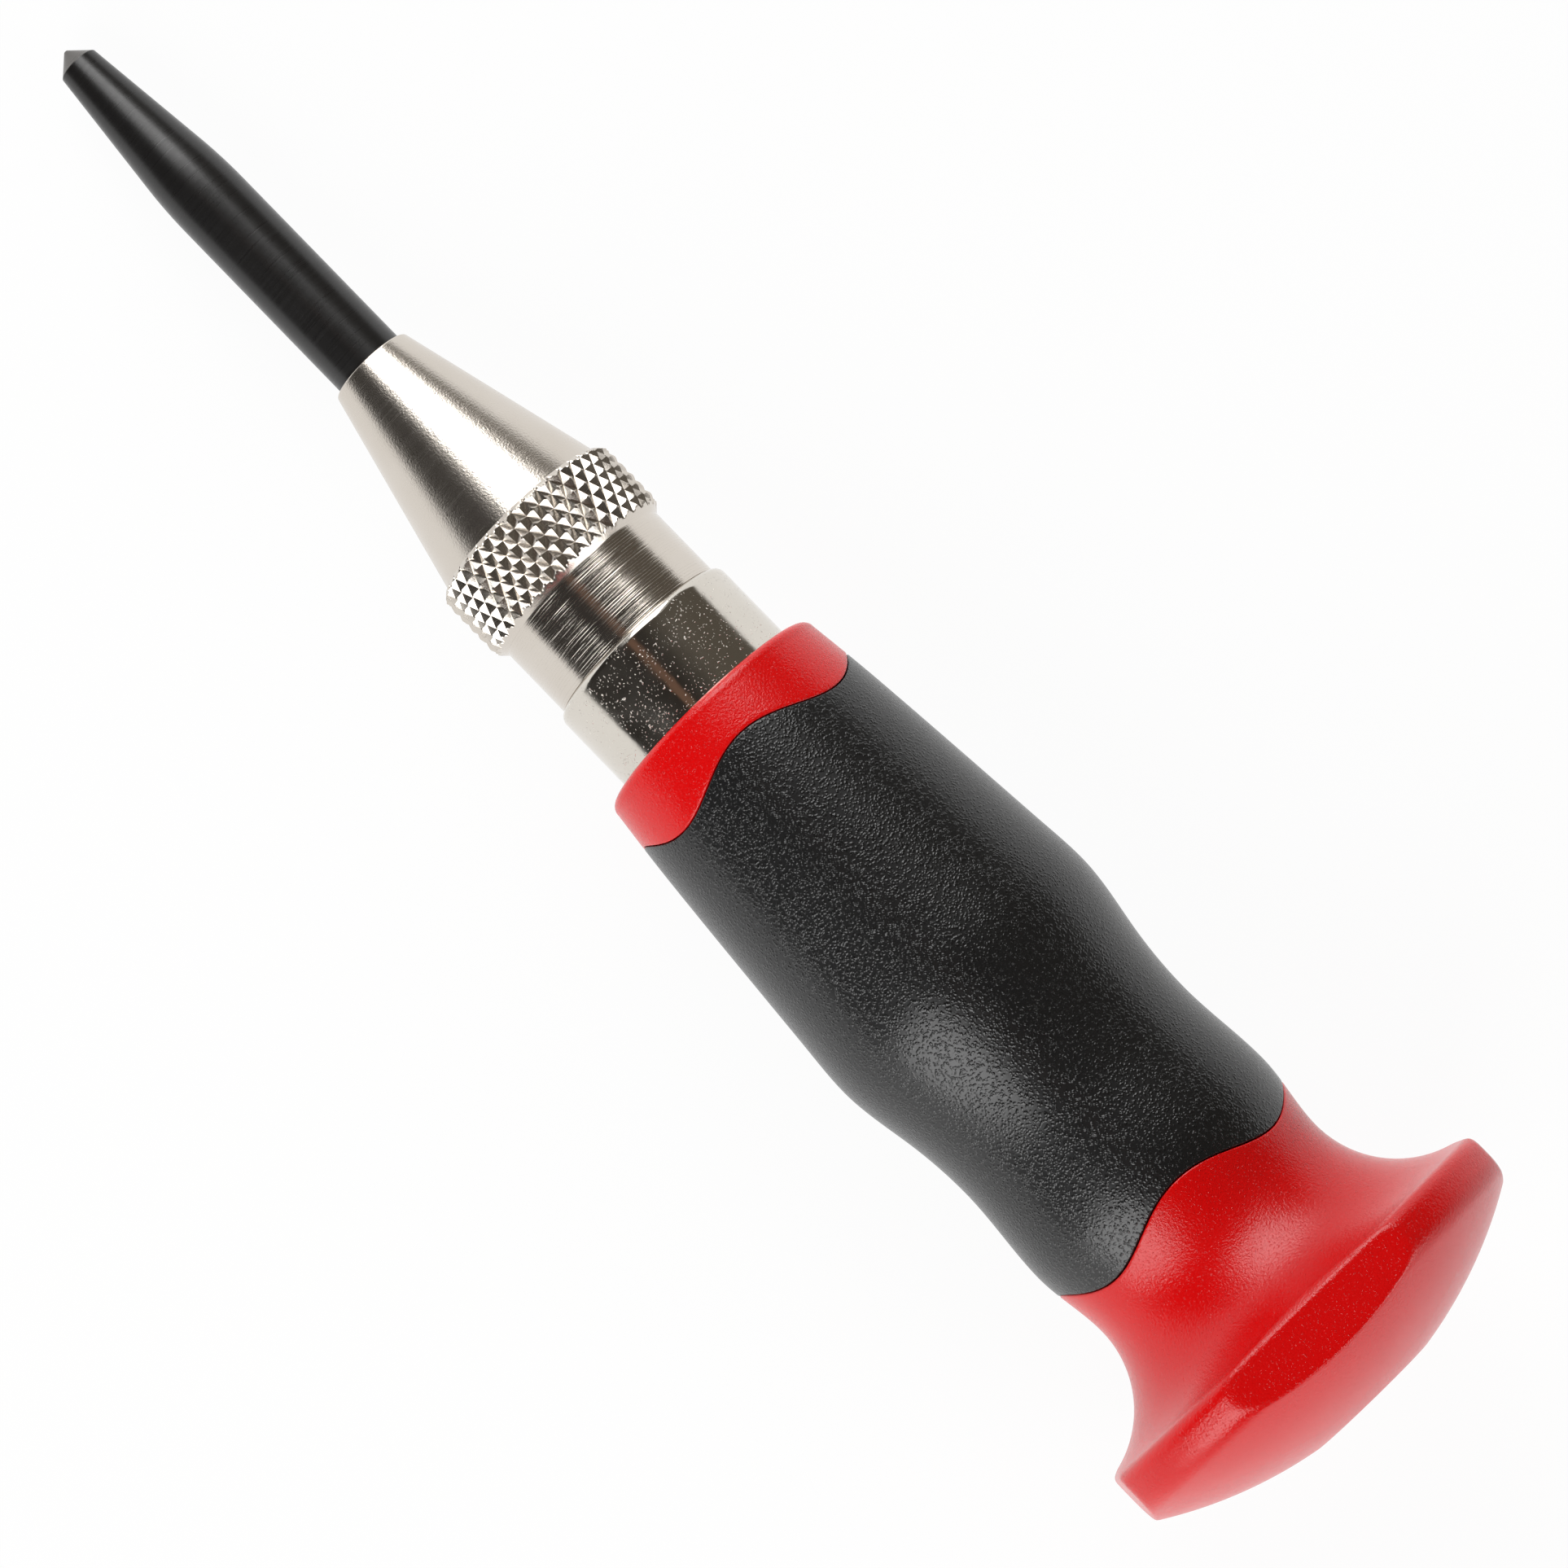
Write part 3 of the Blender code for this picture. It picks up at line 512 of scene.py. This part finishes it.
def handle_radius(z):
    """Radius at a station: r0 + (r1 - r0) t t (3 - 2 t) + span t (1 - t) (m0 (1 - t) - m1 t).

    t is the share of the span between two stations, r the radii and m the slopes at its ends."""
    stations, radii, slopes = HANDLE_STATIONS.T
    k = np.clip(np.searchsorted(stations, z, side="right") - 1, 0, len(stations) - 2)
    span = stations[k + 1] - stations[k]
    t = (z - stations[k]) / span
    swell = radii[k] + (radii[k + 1] - radii[k]) * t * t * (3 - 2 * t)
    return swell + span * t * (1 - t) * (slopes[k] * (1 - t) - slopes[k + 1] * t)


def lobed(middle, height):
    """Stations of a wavy seam: middle - height cos(LOBES angle)."""
    return middle - height * np.cos(LOBES * handle_angles)


handle_angles = round_angles(HANDLE_ROUND)[None]
front_wave = lobed(91.0, 1.2)
rear_wave = lobed(145.3, 1.23)
print("grip swells to", handle_radius(np.linspace(86.0, 148.0, 500)).max().round(2), "mm radius")


def seam_edge(wave, way, floor_r):
    """Rows of (station, radius) over a moulded edge at a wave, from the skin down to floor_r.

    It is a quarter circle of SEAM_EDGE that starts that far before the seam. way is 1 for an edge that
    faces the rear, and -1 for one that faces the front."""
    turn = np.linspace(0, np.pi / 2, 5)[:, None]
    edge = wave - way * SEAM
    station = edge - way * SEAM_EDGE * (1 - np.sin(turn))
    radius = handle_radius(edge - way * SEAM_EDGE) - SEAM_EDGE * (1 - np.cos(turn))
    return np.concatenate([station, edge]), np.concatenate([radius, np.full_like(edge, floor_r)])


def on_skin(first, last, count):
    """Rows on the handle's skin at equal shares of the way between two edges."""
    share = np.linspace(0, 1, count + 2)[1:-1, None]
    station = first + (last - first) * share
    return station, handle_radius(station)


# %% [markdown]
# ## Red moulded plastic
# The red is coloured through and moulded in a lightly blasted mould, so it has a satin sheen with a
# fine grain and a few specks. Its colour comes back from inside. Its colour is also a little darker on
# the palm than on the collar: that is painted shade, in place of the weaker light that falls on the
# palm's flare, not a change in the plastic. Only its gloss takes on the white of the table and the
# lamps, more so where it is seen at a low angle. A dielectric Principled shader does that by itself.

# %% Red plastic finish


def red_finish():
    """Saturated red with painted shade toward the palm, a grain of 0.2 mm, sparse specks and slow clouds.
    """
    material, tree, shader = new_finish("red_moulded_plastic")
    spot = tool_place(tree)
    grain = relief(tree, noise(tree, spot, (4.5,) * 3, 2.0, 0.55), 50 * MICRON)
    specks = remap(tree, noise(tree, spot, (5.5,) * 3, 0.0), 0.70, 0.80, 0.0, 1.0)
    cloud = noise(tree, spot, (0.12,) * 3, 2.0)
    # Painted shade: thick rises from 0 at station 95 to 0.8 at 145 and darkens the palm's red; it is not
    # plastic thickness.
    thick = remap(tree, station_of(tree, spot), 95.0, 145.0, 0.0, 0.8)
    deep = sums(tree, "ADD", thick, remap(tree, cloud, 0.3, 0.7, 0.0, 0.2))
    # deep is that painted shade plus random clouds of tone; the second red is the painted-shade colour.
    join(tree, shader, Base_Color=blend(tree, deep, (0.69, 0.0014, 0.0017), (0.61, 0.0012, 0.0015)),
         Roughness=remap(tree, cloud, 0.3, 0.7, 0.20, 0.25),
         Normal=relief(tree, specks, 25 * MICRON, under=grain))
    shader.inputs["Specular IOR Level"].default_value = 0.44
    return material


red_plastic = red_finish()
print("made", red_plastic.name)

# %% [markdown]
# ## The palm knob
# Behind the grip the red flares out of a waist into a domed knob, whose rim is cut by four flats so
# that the tool doesn't roll. A boolean would leave ragged triangles along the cuts. Here the flats come
# from the radius itself: it is the lesser of the rim's and the flat's, apothem / cos(angle). The rows
# of the rim are then spread evenly again along each column, and some rounds of averaging give the edges
# the small radius that a mould leaves.

# %% Palm profile
FLARE_R = 9.85
RIM_R = 23.6
RIM_FRONT = 1.4
RIM_REAR = 2.5
APOTHEM = 21.3
FLAT_FRONT = 159.15
DOME_R = 41.0
CROWN_Z = 170.0
RECESS_R = 6.9
RECESS_DEPTH = 0.45
RIM_FROM_R = 19.0
RIM_TO_R = 19.5


def arc(centre, radius, start, end, count):
    """(station, radius) points on an arc round a centre: 0 degrees points outward, 90 to the rear."""
    turn = np.radians(np.linspace(start, end, count + 1))
    return np.stack([centre[0] + radius * np.sin(turn), centre[1] + radius * np.cos(turn)], -1)


dome_z = CROWN_Z - DOME_R
rim_rear_r = RIM_R - RIM_REAR
shoulder = math.acos(rim_rear_r / (DOME_R - RIM_REAR))
rim_rear_z = dome_z + (DOME_R - RIM_REAR) * math.sin(shoulder)
flare = arc((WAIST_Z, WAIST_R + FLARE_R), FLARE_R, 180, 94, 90)
rim_front = arc((WAIST_Z + FLARE_R + RIM_FRONT, RIM_R - RIM_FRONT), RIM_FRONT, -90, 0, 12)
rim_rear = arc((rim_rear_z, rim_rear_r), RIM_REAR, 0, math.degrees(shoulder), 16)
recess_edge = math.acos(RECESS_R / DOME_R)
dome = arc((dome_z, 0.0), DOME_R, math.degrees(shoulder), math.degrees(recess_edge), 90)[1:]
crown_z = dome[-1, 0]
flare_in_rim = flare[:, 1] > RIM_FROM_R
dome_in_rim = dome[:, 1] > RIM_TO_R
rim_path = np.concatenate([flare[flare_in_rim], rim_front, rim_rear, dome[dome_in_rim]])
print("rim path:", len(rim_path), "points, crown at station", crown_z.round(2))

# %% Flats on the rim
RIM_ROWS = 96
PASSES = 7


def with_flats(path):
    """Rim rows with four flats: radius = min(radius, (APOTHEM - slope) / cos(angle to the nearest flat)).

    slope breaks the front edge of each flat at 45 degrees."""
    to_flat = (handle_angles + np.pi / 4) % (np.pi / 2) - np.pi / 4
    slope = np.maximum(FLAT_FRONT - path[:, :1], 0.0)
    return path[:, :1] + 0 * to_flat, np.minimum(path[:, 1:], (APOTHEM - slope) / np.cos(to_flat))


def respaced(station, radius, count):
    """The same columns with count rows at equal lengths along each."""
    step = np.hypot(np.diff(station, axis=0), np.diff(radius, axis=0))
    length = np.concatenate([np.zeros((1, step.shape[1])), np.cumsum(step, axis=0)])
    share = np.linspace(0, 1, count)
    columns = [(np.interp(share * s[-1], s, z), np.interp(share * s[-1], s, r))
               for s, z, r in zip(length.T, station.T, radius.T)]
    return np.moveaxis(np.array(columns), 0, 2)


def averaged(rows):
    """One round of averaging with the four neighbours; the first and last rows stay."""
    made = rows.copy()
    sides = np.roll(rows, 1, axis=1) + np.roll(rows, -1, axis=1)
    made[1:-1] = (2 * rows[1:-1] + rows[:-2] + rows[2:] + 0.5 * sides[1:-1]) / 5
    return made


rim_station, rim_radius = respaced(*with_flats(rim_path), RIM_ROWS)
for _ in range(PASSES):
    rim_station, rim_radius = averaged(rim_station), averaged(rim_radius)
print("flat, mid-way round its lens:", rim_radius[:, 0].max().round(3), "mm from the axis")

# %% [markdown]
# ## The red core
# The core is one moulding from the collar to the crown. Its rows start at the pole of the blind hole in
# the palm and run forward along that hole and the bore, which hugs the barrel, over the front lip, back
# along the collar, down under the grip, up again at the rear wave, over the waist, flare, rim and dome,
# and into the shallow bare recess in the crown.

# %% The red core
HOLE_END = 163.5
HOLE_R = 9.0
BORE_END = 152.5
BORE_R = 9.93
LIP_FRONT = HANDLE_STATIONS[0, 0]
LIP_EDGE = 0.9
LIP_END = 86.1
RECESS_EDGE = 0.12
lip_path = guarded(rounded([
    (HOLE_END, 0.0, 0), (HOLE_END, HOLE_R, 0.5), (BORE_END, HOLE_R, 0.2), (BORE_END, BORE_R, 0),
    (LIP_FRONT, BORE_R, 0.15), (LIP_FRONT, handle_radius(LIP_FRONT + LIP_EDGE), LIP_EDGE),
    (LIP_END, handle_radius(LIP_END), 0),
]))
recess_floor = crown_z - RECESS_DEPTH
recess_path = guarded(rounded([
    (crown_z, RECESS_R, 0), (recess_floor, RECESS_R - RECESS_EDGE, RECESS_EDGE), (recess_floor, 0.0, 0),
]))[1:]
collar_edge = seam_edge(front_wave, 1, CORE_R)
palm_edge = [rows[::-1] for rows in seam_edge(rear_wave, -1, CORE_R)]
core_parts = [
    rows_of(lip_path), on_skin(LIP_END, collar_edge[0][0], 16), collar_edge,
    palm_edge, on_skin(palm_edge[0][-1], WAIST_Z, 14),
    rows_of(flare[~flare_in_rim][::2]), (rim_station, rim_radius),
    rows_of(dome[~dome_in_rim][::3]), rows_of(dome[-1:]), rows_of(recess_path),
]
core_station, core_radius = stacked(core_parts, HANDLE_ROUND)
core_mesh = skin("red_handle", place(core_station, core_radius, handle_angles))
add_piece(core_mesh, red_plastic, "housing", "handle_core", sharp=50.0)

# %% [markdown]
# ## The soft grip
# The grip is a soft black rubber that is moulded over the core. Its mould was etched like leather:
# small soft cells with fine valleys. Cells that small would need millions of faces, so they are a bump
# from a Voronoi texture, in millimetres, and they hold their size where the handle swells.

# %% Black grip finish
CELLS_PER_MM = 3.7
BENDS_PER_MM = 1.6


def grip_finish():
    """Near-black rubber with cells of about 0.3 mm, whose valleys are duller than their tops."""
    material, tree, shader = new_finish("pebbled_black_grip")
    spot = tool_place(tree)
    bend = node(tree, "TexNoise", {"Vector": spot, "Scale": BENDS_PER_MM, "Detail": 2.0}).outputs["Color"]
    wander = node(tree, "VectorMath", {0: bend, 1: (0.5, 0.5, 0.5)}, operation="MULTIPLY_ADD")
    tree.links.new(spot, wander.inputs[2])
    cells = node(tree, "TexVoronoi", {
        "Vector": wander.outputs[0], "Scale": CELLS_PER_MM, "Smoothness": 0.25}, feature="SMOOTH_F1")
    pebble = remap(tree, cells.outputs["Distance"], 0.05, 0.62, 1.0, 0.0, smooth=True)
    cloud = noise(tree, spot, (0.15,) * 3, 2.0)
    join(tree, shader, Base_Color=blend(tree, cloud, (0.0050, 0.0050, 0.0052), (0.0080, 0.0080, 0.0082)),
         Roughness=remap(tree, pebble, 0.0, 1.0, 0.30, 0.17), Normal=relief(tree, pebble, 38 * MICRON))
    shader.inputs["Specular IOR Level"].default_value = 0.6
    return material


black_grip = grip_finish()
print("made", black_grip.name)

# %% The grip
GRIP_BORE_R = CORE_R + 0.15
grip_front = [rows[::-1] for rows in seam_edge(front_wave, -1, GRIP_BORE_R)]
grip_rear = seam_edge(rear_wave, 1, GRIP_BORE_R)
grip_parts = [grip_front, on_skin(grip_front[0][-1], grip_rear[0][0], 110), grip_rear]
grip_station, grip_radius = stacked(grip_parts, HANDLE_ROUND)
grip_mesh = skin("pebbled_grip", place(grip_station, grip_radius, handle_angles), True)
add_piece(grip_mesh, black_grip, "housing", "grip_sleeve", sharp=50.0)

# %% [markdown]
# ## Steel that is never seen at rest
# Inside are turned steel pieces, oiled and a little grey, and the hammer with its catch, hardened and
# ground. Their CAD shapes are right, so they only get a finish: rings of turning marks for the first,
# and for the second a darker steel with cloudy heat tints. They have no UV map, so these two read
# Object coordinates alone.

# %% Steel finishes


def steel_finish(name, light, dark, tint, smooth, rough):
    """Steel between two tones with turning marks, tinted in clouds."""
    material, tree, shader = new_finish(name)
    spot = tool_place(tree)
    marks = noise(tree, spot, (8.0, 0.1, 0.1), 4.0, 0.65)
    cloud = noise(tree, spot, (0.3,) * 3, 3.0)
    metal = blend(tree, marks, dark, light)
    join(tree, shader, Base_Color=blend(tree, remap(tree, cloud, 0.5, 0.75, 0.0, 0.6), metal, tint),
         Roughness=remap(tree, marks, 0.3, 0.7, smooth, rough), Normal=relief(tree, marks, 4 * MICRON))
    shader.inputs["Metallic"].default_value = 1.0
    return material


plain_steel = steel_finish(
    "oiled_turned_steel", light=(0.50, 0.49, 0.47), dark=(0.36, 0.35, 0.33), tint=(0.40, 0.36, 0.29),
    smooth=0.24, rough=0.38)
striker_steel = steel_finish(
    "hardened_steel", light=(0.42, 0.41, 0.40), dark=(0.30, 0.29, 0.285), tint=(0.28, 0.25, 0.24),
    smooth=0.20, rough=0.34)
for finish, names in (
    (plain_steel, ("plunger", "drive_pin", "guide_bush", "retaining_ring", "spring_seat", "end_plug")),
    (striker_steel, ("hammer", "trip_slide")),
):
    for name in names:
        frame["nodes"][name].data.materials.clear()
        frame["nodes"][name].data.materials.append(finish)
print("steel on", plain_steel.name, "and", striker_steel.name)

# %% [markdown]
# ## The coil springs
# A compression spring is a wire on a helix whose first and last turns lie close. A curve with a round
# bevel would do, but a mesh could shorten with the joints, so the wire is swept here: round each point of
# the helix stands a circle, across the way the wire runs. The rings at both ends shrink to a pole. Here
# each spring stays at rest, between its two seats.

# %% Coil springs
WIRE_ROUND = 14
TURN_STEPS = 40
END_GAP = 0.5
RETURN_SEATS = (53.6, 82.0)
MAIN_SEATS = (122.3, 146.0)


def coil_mesh(name, seats, mean_r, wire_r, open_turns):
    """Wire points: centre(t) + wire_r (cos(s) out + sin(s) across), with across = out x way.

    centre(t) climbs END_GAP + 2 wire_r a turn at both ends and an equal share of the rest between them,
    out points from the axis, and way is the way that the wire runs."""
    low, high = seats
    t = np.linspace(0, open_turns + 2, (open_turns + 2) * TURN_STEPS + 1)[:, None]
    close = 2 * wire_r + END_GAP
    pitch = (high - low - 2 * wire_r - 2 * close) / open_turns
    at_ends = np.minimum(t, 1) + np.maximum(t - 1 - open_turns, 0)
    station = low + wire_r + close * at_ends + pitch * (t - at_ends)
    centre = place(station, mean_r, 2 * np.pi * t + np.pi)
    way = np.gradient(centre[:, 0], axis=0)
    way /= np.linalg.norm(way, axis=1, keepdims=True)
    out = (place(0.0, 1.0, 2 * np.pi * t[:, 0] + np.pi) - place(0.0, 0.0, 0.0)) / MM
    across = np.cross(out, way)
    s = round_angles(WIRE_ROUND)[None, :, None]
    rings = centre + wire_r * MM * (np.cos(s) * out[:, None] + np.sin(s) * across[:, None])
    poles = [np.broadcast_to(centre[k], (1, WIRE_ROUND, 3)) for k in (0, -1)]
    return skin(name, np.concatenate([poles[0], rings, poles[1]]))


return_mesh = coil_mesh("return_coil", RETURN_SEATS, mean_r=5.0, wire_r=0.5, open_turns=9)
return_coil = add_piece(return_mesh, plain_steel, "housing", "return_spring")
main_mesh = coil_mesh("main_coil", MAIN_SEATS, mean_r=4.75, wire_r=0.75, open_turns=7)
main_coil = add_piece(main_mesh, striker_steel, "housing", "main_spring")
springs = ((return_coil, "punch_slide", RETURN_SEATS), (main_coil, "hammer_slide", MAIN_SEATS))
for coil, joint, (low, high) in springs:
    seat = place(high, 0.0, 0.0)
    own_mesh(coil)

# %% [markdown]
# ## The leaf behind the catch
# A small bowed leaf of spring steel holds the catch off centre until the ramp pushes it in. It is a
# thin strip bent to a parabola. Its section, a rounded strip, is carried along the bow, and its two
# ends close to poles.

# %% The leaf
LEAF_STATION = 98.5
LEAF_HALF = 3.0
LEAF_WIDTH = 4.4
LEAF_THICK = 0.35
LEAF_BACK_Y = -4.0
LEAF_BOW = 1.45


def strip_ring():
    """A rounded strip in section, as (width, thickness) points, with a half circle at each edge."""
    half = (LEAF_WIDTH - LEAF_THICK) / 2
    turn = np.linspace(-np.pi / 2, np.pi / 2, 7)
    edge = np.stack([half + LEAF_THICK / 2 * np.cos(turn), LEAF_THICK / 2 * np.sin(turn)], -1)
    return np.concatenate([edge, -edge])


def leaf_mesh(name):
    """Centre line, x up and y to the side: y = back + thickness / 2 + bow (1 - (x / half)^2).

    The strip stands across it, with its width along the tool, and a ring shrunk to a pole at each end."""
    x = np.linspace(-LEAF_HALF, LEAF_HALF, 33)
    y = LEAF_BACK_Y + LEAF_THICK / 2 + LEAF_BOW * (1 - (x / LEAF_HALF) ** 2)
    ring = strip_ring()
    shrink = np.ones(len(x) + 2)
    shrink[[0, -1]] = 0.0
    x, y = (np.concatenate([v[:1], v, v[-1:]])[:, None, None] for v in (x, y))
    wide, thick = (shrink[:, None, None] * part[None, :, None] for part in ring.T)
    centre = TIP + (LEAF_STATION + wide) * ALONG
    return skin(name, (centre + x * UP + (y + thick) * SIDE) * MM)


trip_leaf = add_piece(leaf_mesh("trip_leaf"), striker_steel, "hammer", "trip_spring")
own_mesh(trip_leaf)

# %% [markdown]
# ## The table and the studio
# The tool was photographed from above on a white table under a dark ceiling, with a large soft lamp
# beyond the tip, a second one on the near side and a lower one behind the palm. Polished metal shows
# exactly that: bright bands where it sees a lamp, dark where it sees the ceiling, and white along its
# edges, where it sees the table. A weak, wider lamp round the first one softens the edges of its bands,
# and a warm beam in the ceiling draws the brown line along the barrel. The table glows at strength 1
# for the camera and for reflections, mixed with a plain diffuse white that keeps a trace of the tool's
# shadow.

# %% The table
TABLE_R = 4.0
TABLE_ROUND = 96
GLOW = 0.94


def table_finish():
    """White at strength 1 to the camera, gloss and glass, over a diffuse white that takes shadows."""
    material, tree, shader = new_finish("white_table")
    tree.nodes.remove(shader)
    rays = node(tree, "LightPath", {}).outputs
    seen = sums(tree, "MAXIMUM", sums(tree, "MAXIMUM", rays["Is Camera Ray"], rays["Is Glossy Ray"]),
                rays["Is Transmission Ray"])
    plain = node(tree, "BsdfDiffuse", {"Color": (0.9, 0.9, 0.9, 1.0)}).outputs[0]
    white = node(tree, "Emission", {"Color": (1.0, 1.0, 1.0, 1.0), "Strength": 1.0}).outputs[0]
    share = sums(tree, "MULTIPLY", seen, GLOW)
    mixed = node(tree, "MixShader", {0: share, 1: plain, 2: white}).outputs[0]
    tree.links.new(mixed, tree.nodes["Material Output"].inputs["Surface"])
    return material


table_angles = round_angles(TABLE_ROUND)
table_points = TABLE_R * np.stack([np.cos(table_angles), np.sin(table_angles), 0 * table_angles], -1)
table_mesh = bpy.data.meshes.new("white_table")
table_mesh.from_pydata(table_points.tolist(), [], [list(range(TABLE_ROUND))])
table_mesh.materials.append(table_finish())
white_table = bpy.data.objects.new("white_table", table_mesh)
bpy.context.scene.collection.objects.link(white_table)
print("table made")

# %% Lamps


def softbox(name, way, distance, wide, high, radiance):
    """An area lamp in a direction from the tool's middle, turned to it. Power = radiance * pi * area."""
    lamp = bpy.data.lights.new(name, "AREA")
    lamp.shape = "RECTANGLE"
    lamp.size, lamp.size_y = wide, high
    lamp.energy = radiance * math.pi * wide * high
    box = bpy.data.objects.new(name, lamp)
    back = np.array(way) / np.linalg.norm(way)
    right = np.cross((0.0, 0.0, 1.0), back)
    right /= np.linalg.norm(right)
    turn = np.eye(4)
    turn[:3, :3] = np.stack([right, np.cross(back, right), back], 1)
    turn[:3, 3] = back * distance
    box.matrix_world = Matrix(turn.tolist())
    bpy.context.scene.collection.objects.link(box)
    print(f"{name}: {lamp.energy:.1f} W")


softbox("lamp_beyond_the_tip", way=(-0.83, 0.285, 0.49), distance=0.75, wide=0.51, high=0.64,
        radiance=4.6)
softbox("glow_round_that_lamp", way=(-0.83, 0.265, 0.49), distance=0.80, wide=0.90, high=0.90,
        radiance=0.32)
softbox("lamp_on_the_near_side", way=(0.36, -0.735, 0.575), distance=0.80, wide=0.60, high=0.72,
        radiance=4.3)
softbox("lamp_behind_the_palm", way=(0.88, 0.30, 0.37), distance=0.90, wide=0.50, high=0.40,
        radiance=3.5)

# %% The room


def room():
    """A dark ceiling, paler on the far side, with one warm beam beside the camera.

    Round the table stands a low pale wall that fades out at 5 degrees, and the camera sees white."""
    world = bpy.data.worlds.new("studio")
    world.use_nodes = True
    tree = world.node_tree
    way = node(tree, "TexCoord", {}).outputs["Generated"]
    parts = node(tree, "SeparateXYZ", {"Vector": way}).outputs
    ceiling = blend(tree, remap(tree, parts["Y"], -0.1, 0.7, 0.0, 1.0, smooth=True),
                    (0.030, 0.027, 0.024), (0.105, 0.092, 0.075))
    aside = sums(tree, "ABSOLUTE", sums(tree, "ADD", parts["Y"], 0.16))
    beam = sums(tree, "MULTIPLY", remap(tree, aside, 0.05, 0.10, 1.0, 0.0, smooth=True),
                remap(tree, parts["Z"], 0.84, 0.92, 0.0, 1.0, smooth=True))
    ceiling = blend(tree, beam, ceiling, (0.17, 0.10, 0.07))
    wall = remap(tree, parts["Z"], 0.0, 0.09, 1.0, 0.0, smooth=True)
    seen = node(tree, "LightPath", {}).outputs["Is Camera Ray"]
    colour = blend(tree, sums(tree, "MAXIMUM", wall, seen), ceiling, (1.0, 1.0, 1.0))
    tree.links.new(colour, tree.nodes["Background"].inputs["Color"])
    return world


bpy.context.scene.world = room()
bpy.context.scene.view_settings.view_transform = "Standard"
print("room made")

# %% [markdown]
# ## The camera
# The photograph looks almost straight down, with the tool across the frame from the upper left to the
# lower right. A long lens at half a metre gives its slight perspective: 140 mm of table across a 36 mm
# sensor.

# %% Camera
LOOK_STATION = 94.29
LOOK_ASIDE = 0.437
TIP_OVER = math.radians(3.6)
ROLL = math.radians(45.808)
DISTANCE = 500.0
FRAME_WIDTH = 140.26
SENSOR = 36.0

back = np.array((0.0, -math.sin(TIP_OVER), math.cos(TIP_OVER)))
across = np.array((0.0, math.cos(TIP_OVER), math.sin(TIP_OVER)))
forth = np.array((1.0, 0.0, 0.0))
roll = ROLL + math.atan2(ALONG @ across, ALONG @ forth)
right = math.cos(roll) * forth + math.sin(roll) * across
upward = -math.sin(roll) * forth + math.cos(roll) * across
look_at = TIP + LOOK_STATION * ALONG + LOOK_ASIDE * across
stand = np.eye(4)
stand[:3, :3] = np.stack([right, upward, back], 1)
stand[:3, 3] = (look_at + DISTANCE * back) * MM
lens = bpy.data.cameras.new("from_above")
lens.sensor_width = SENSOR
lens.lens = SENSOR * DISTANCE / FRAME_WIDTH
camera = bpy.data.objects.new("from_above", lens)
camera.matrix_world = Matrix(stand.tolist())
bpy.context.scene.collection.objects.link(camera)
bpy.context.scene.camera = camera
print("lens", round(lens.lens, 1), "mm")
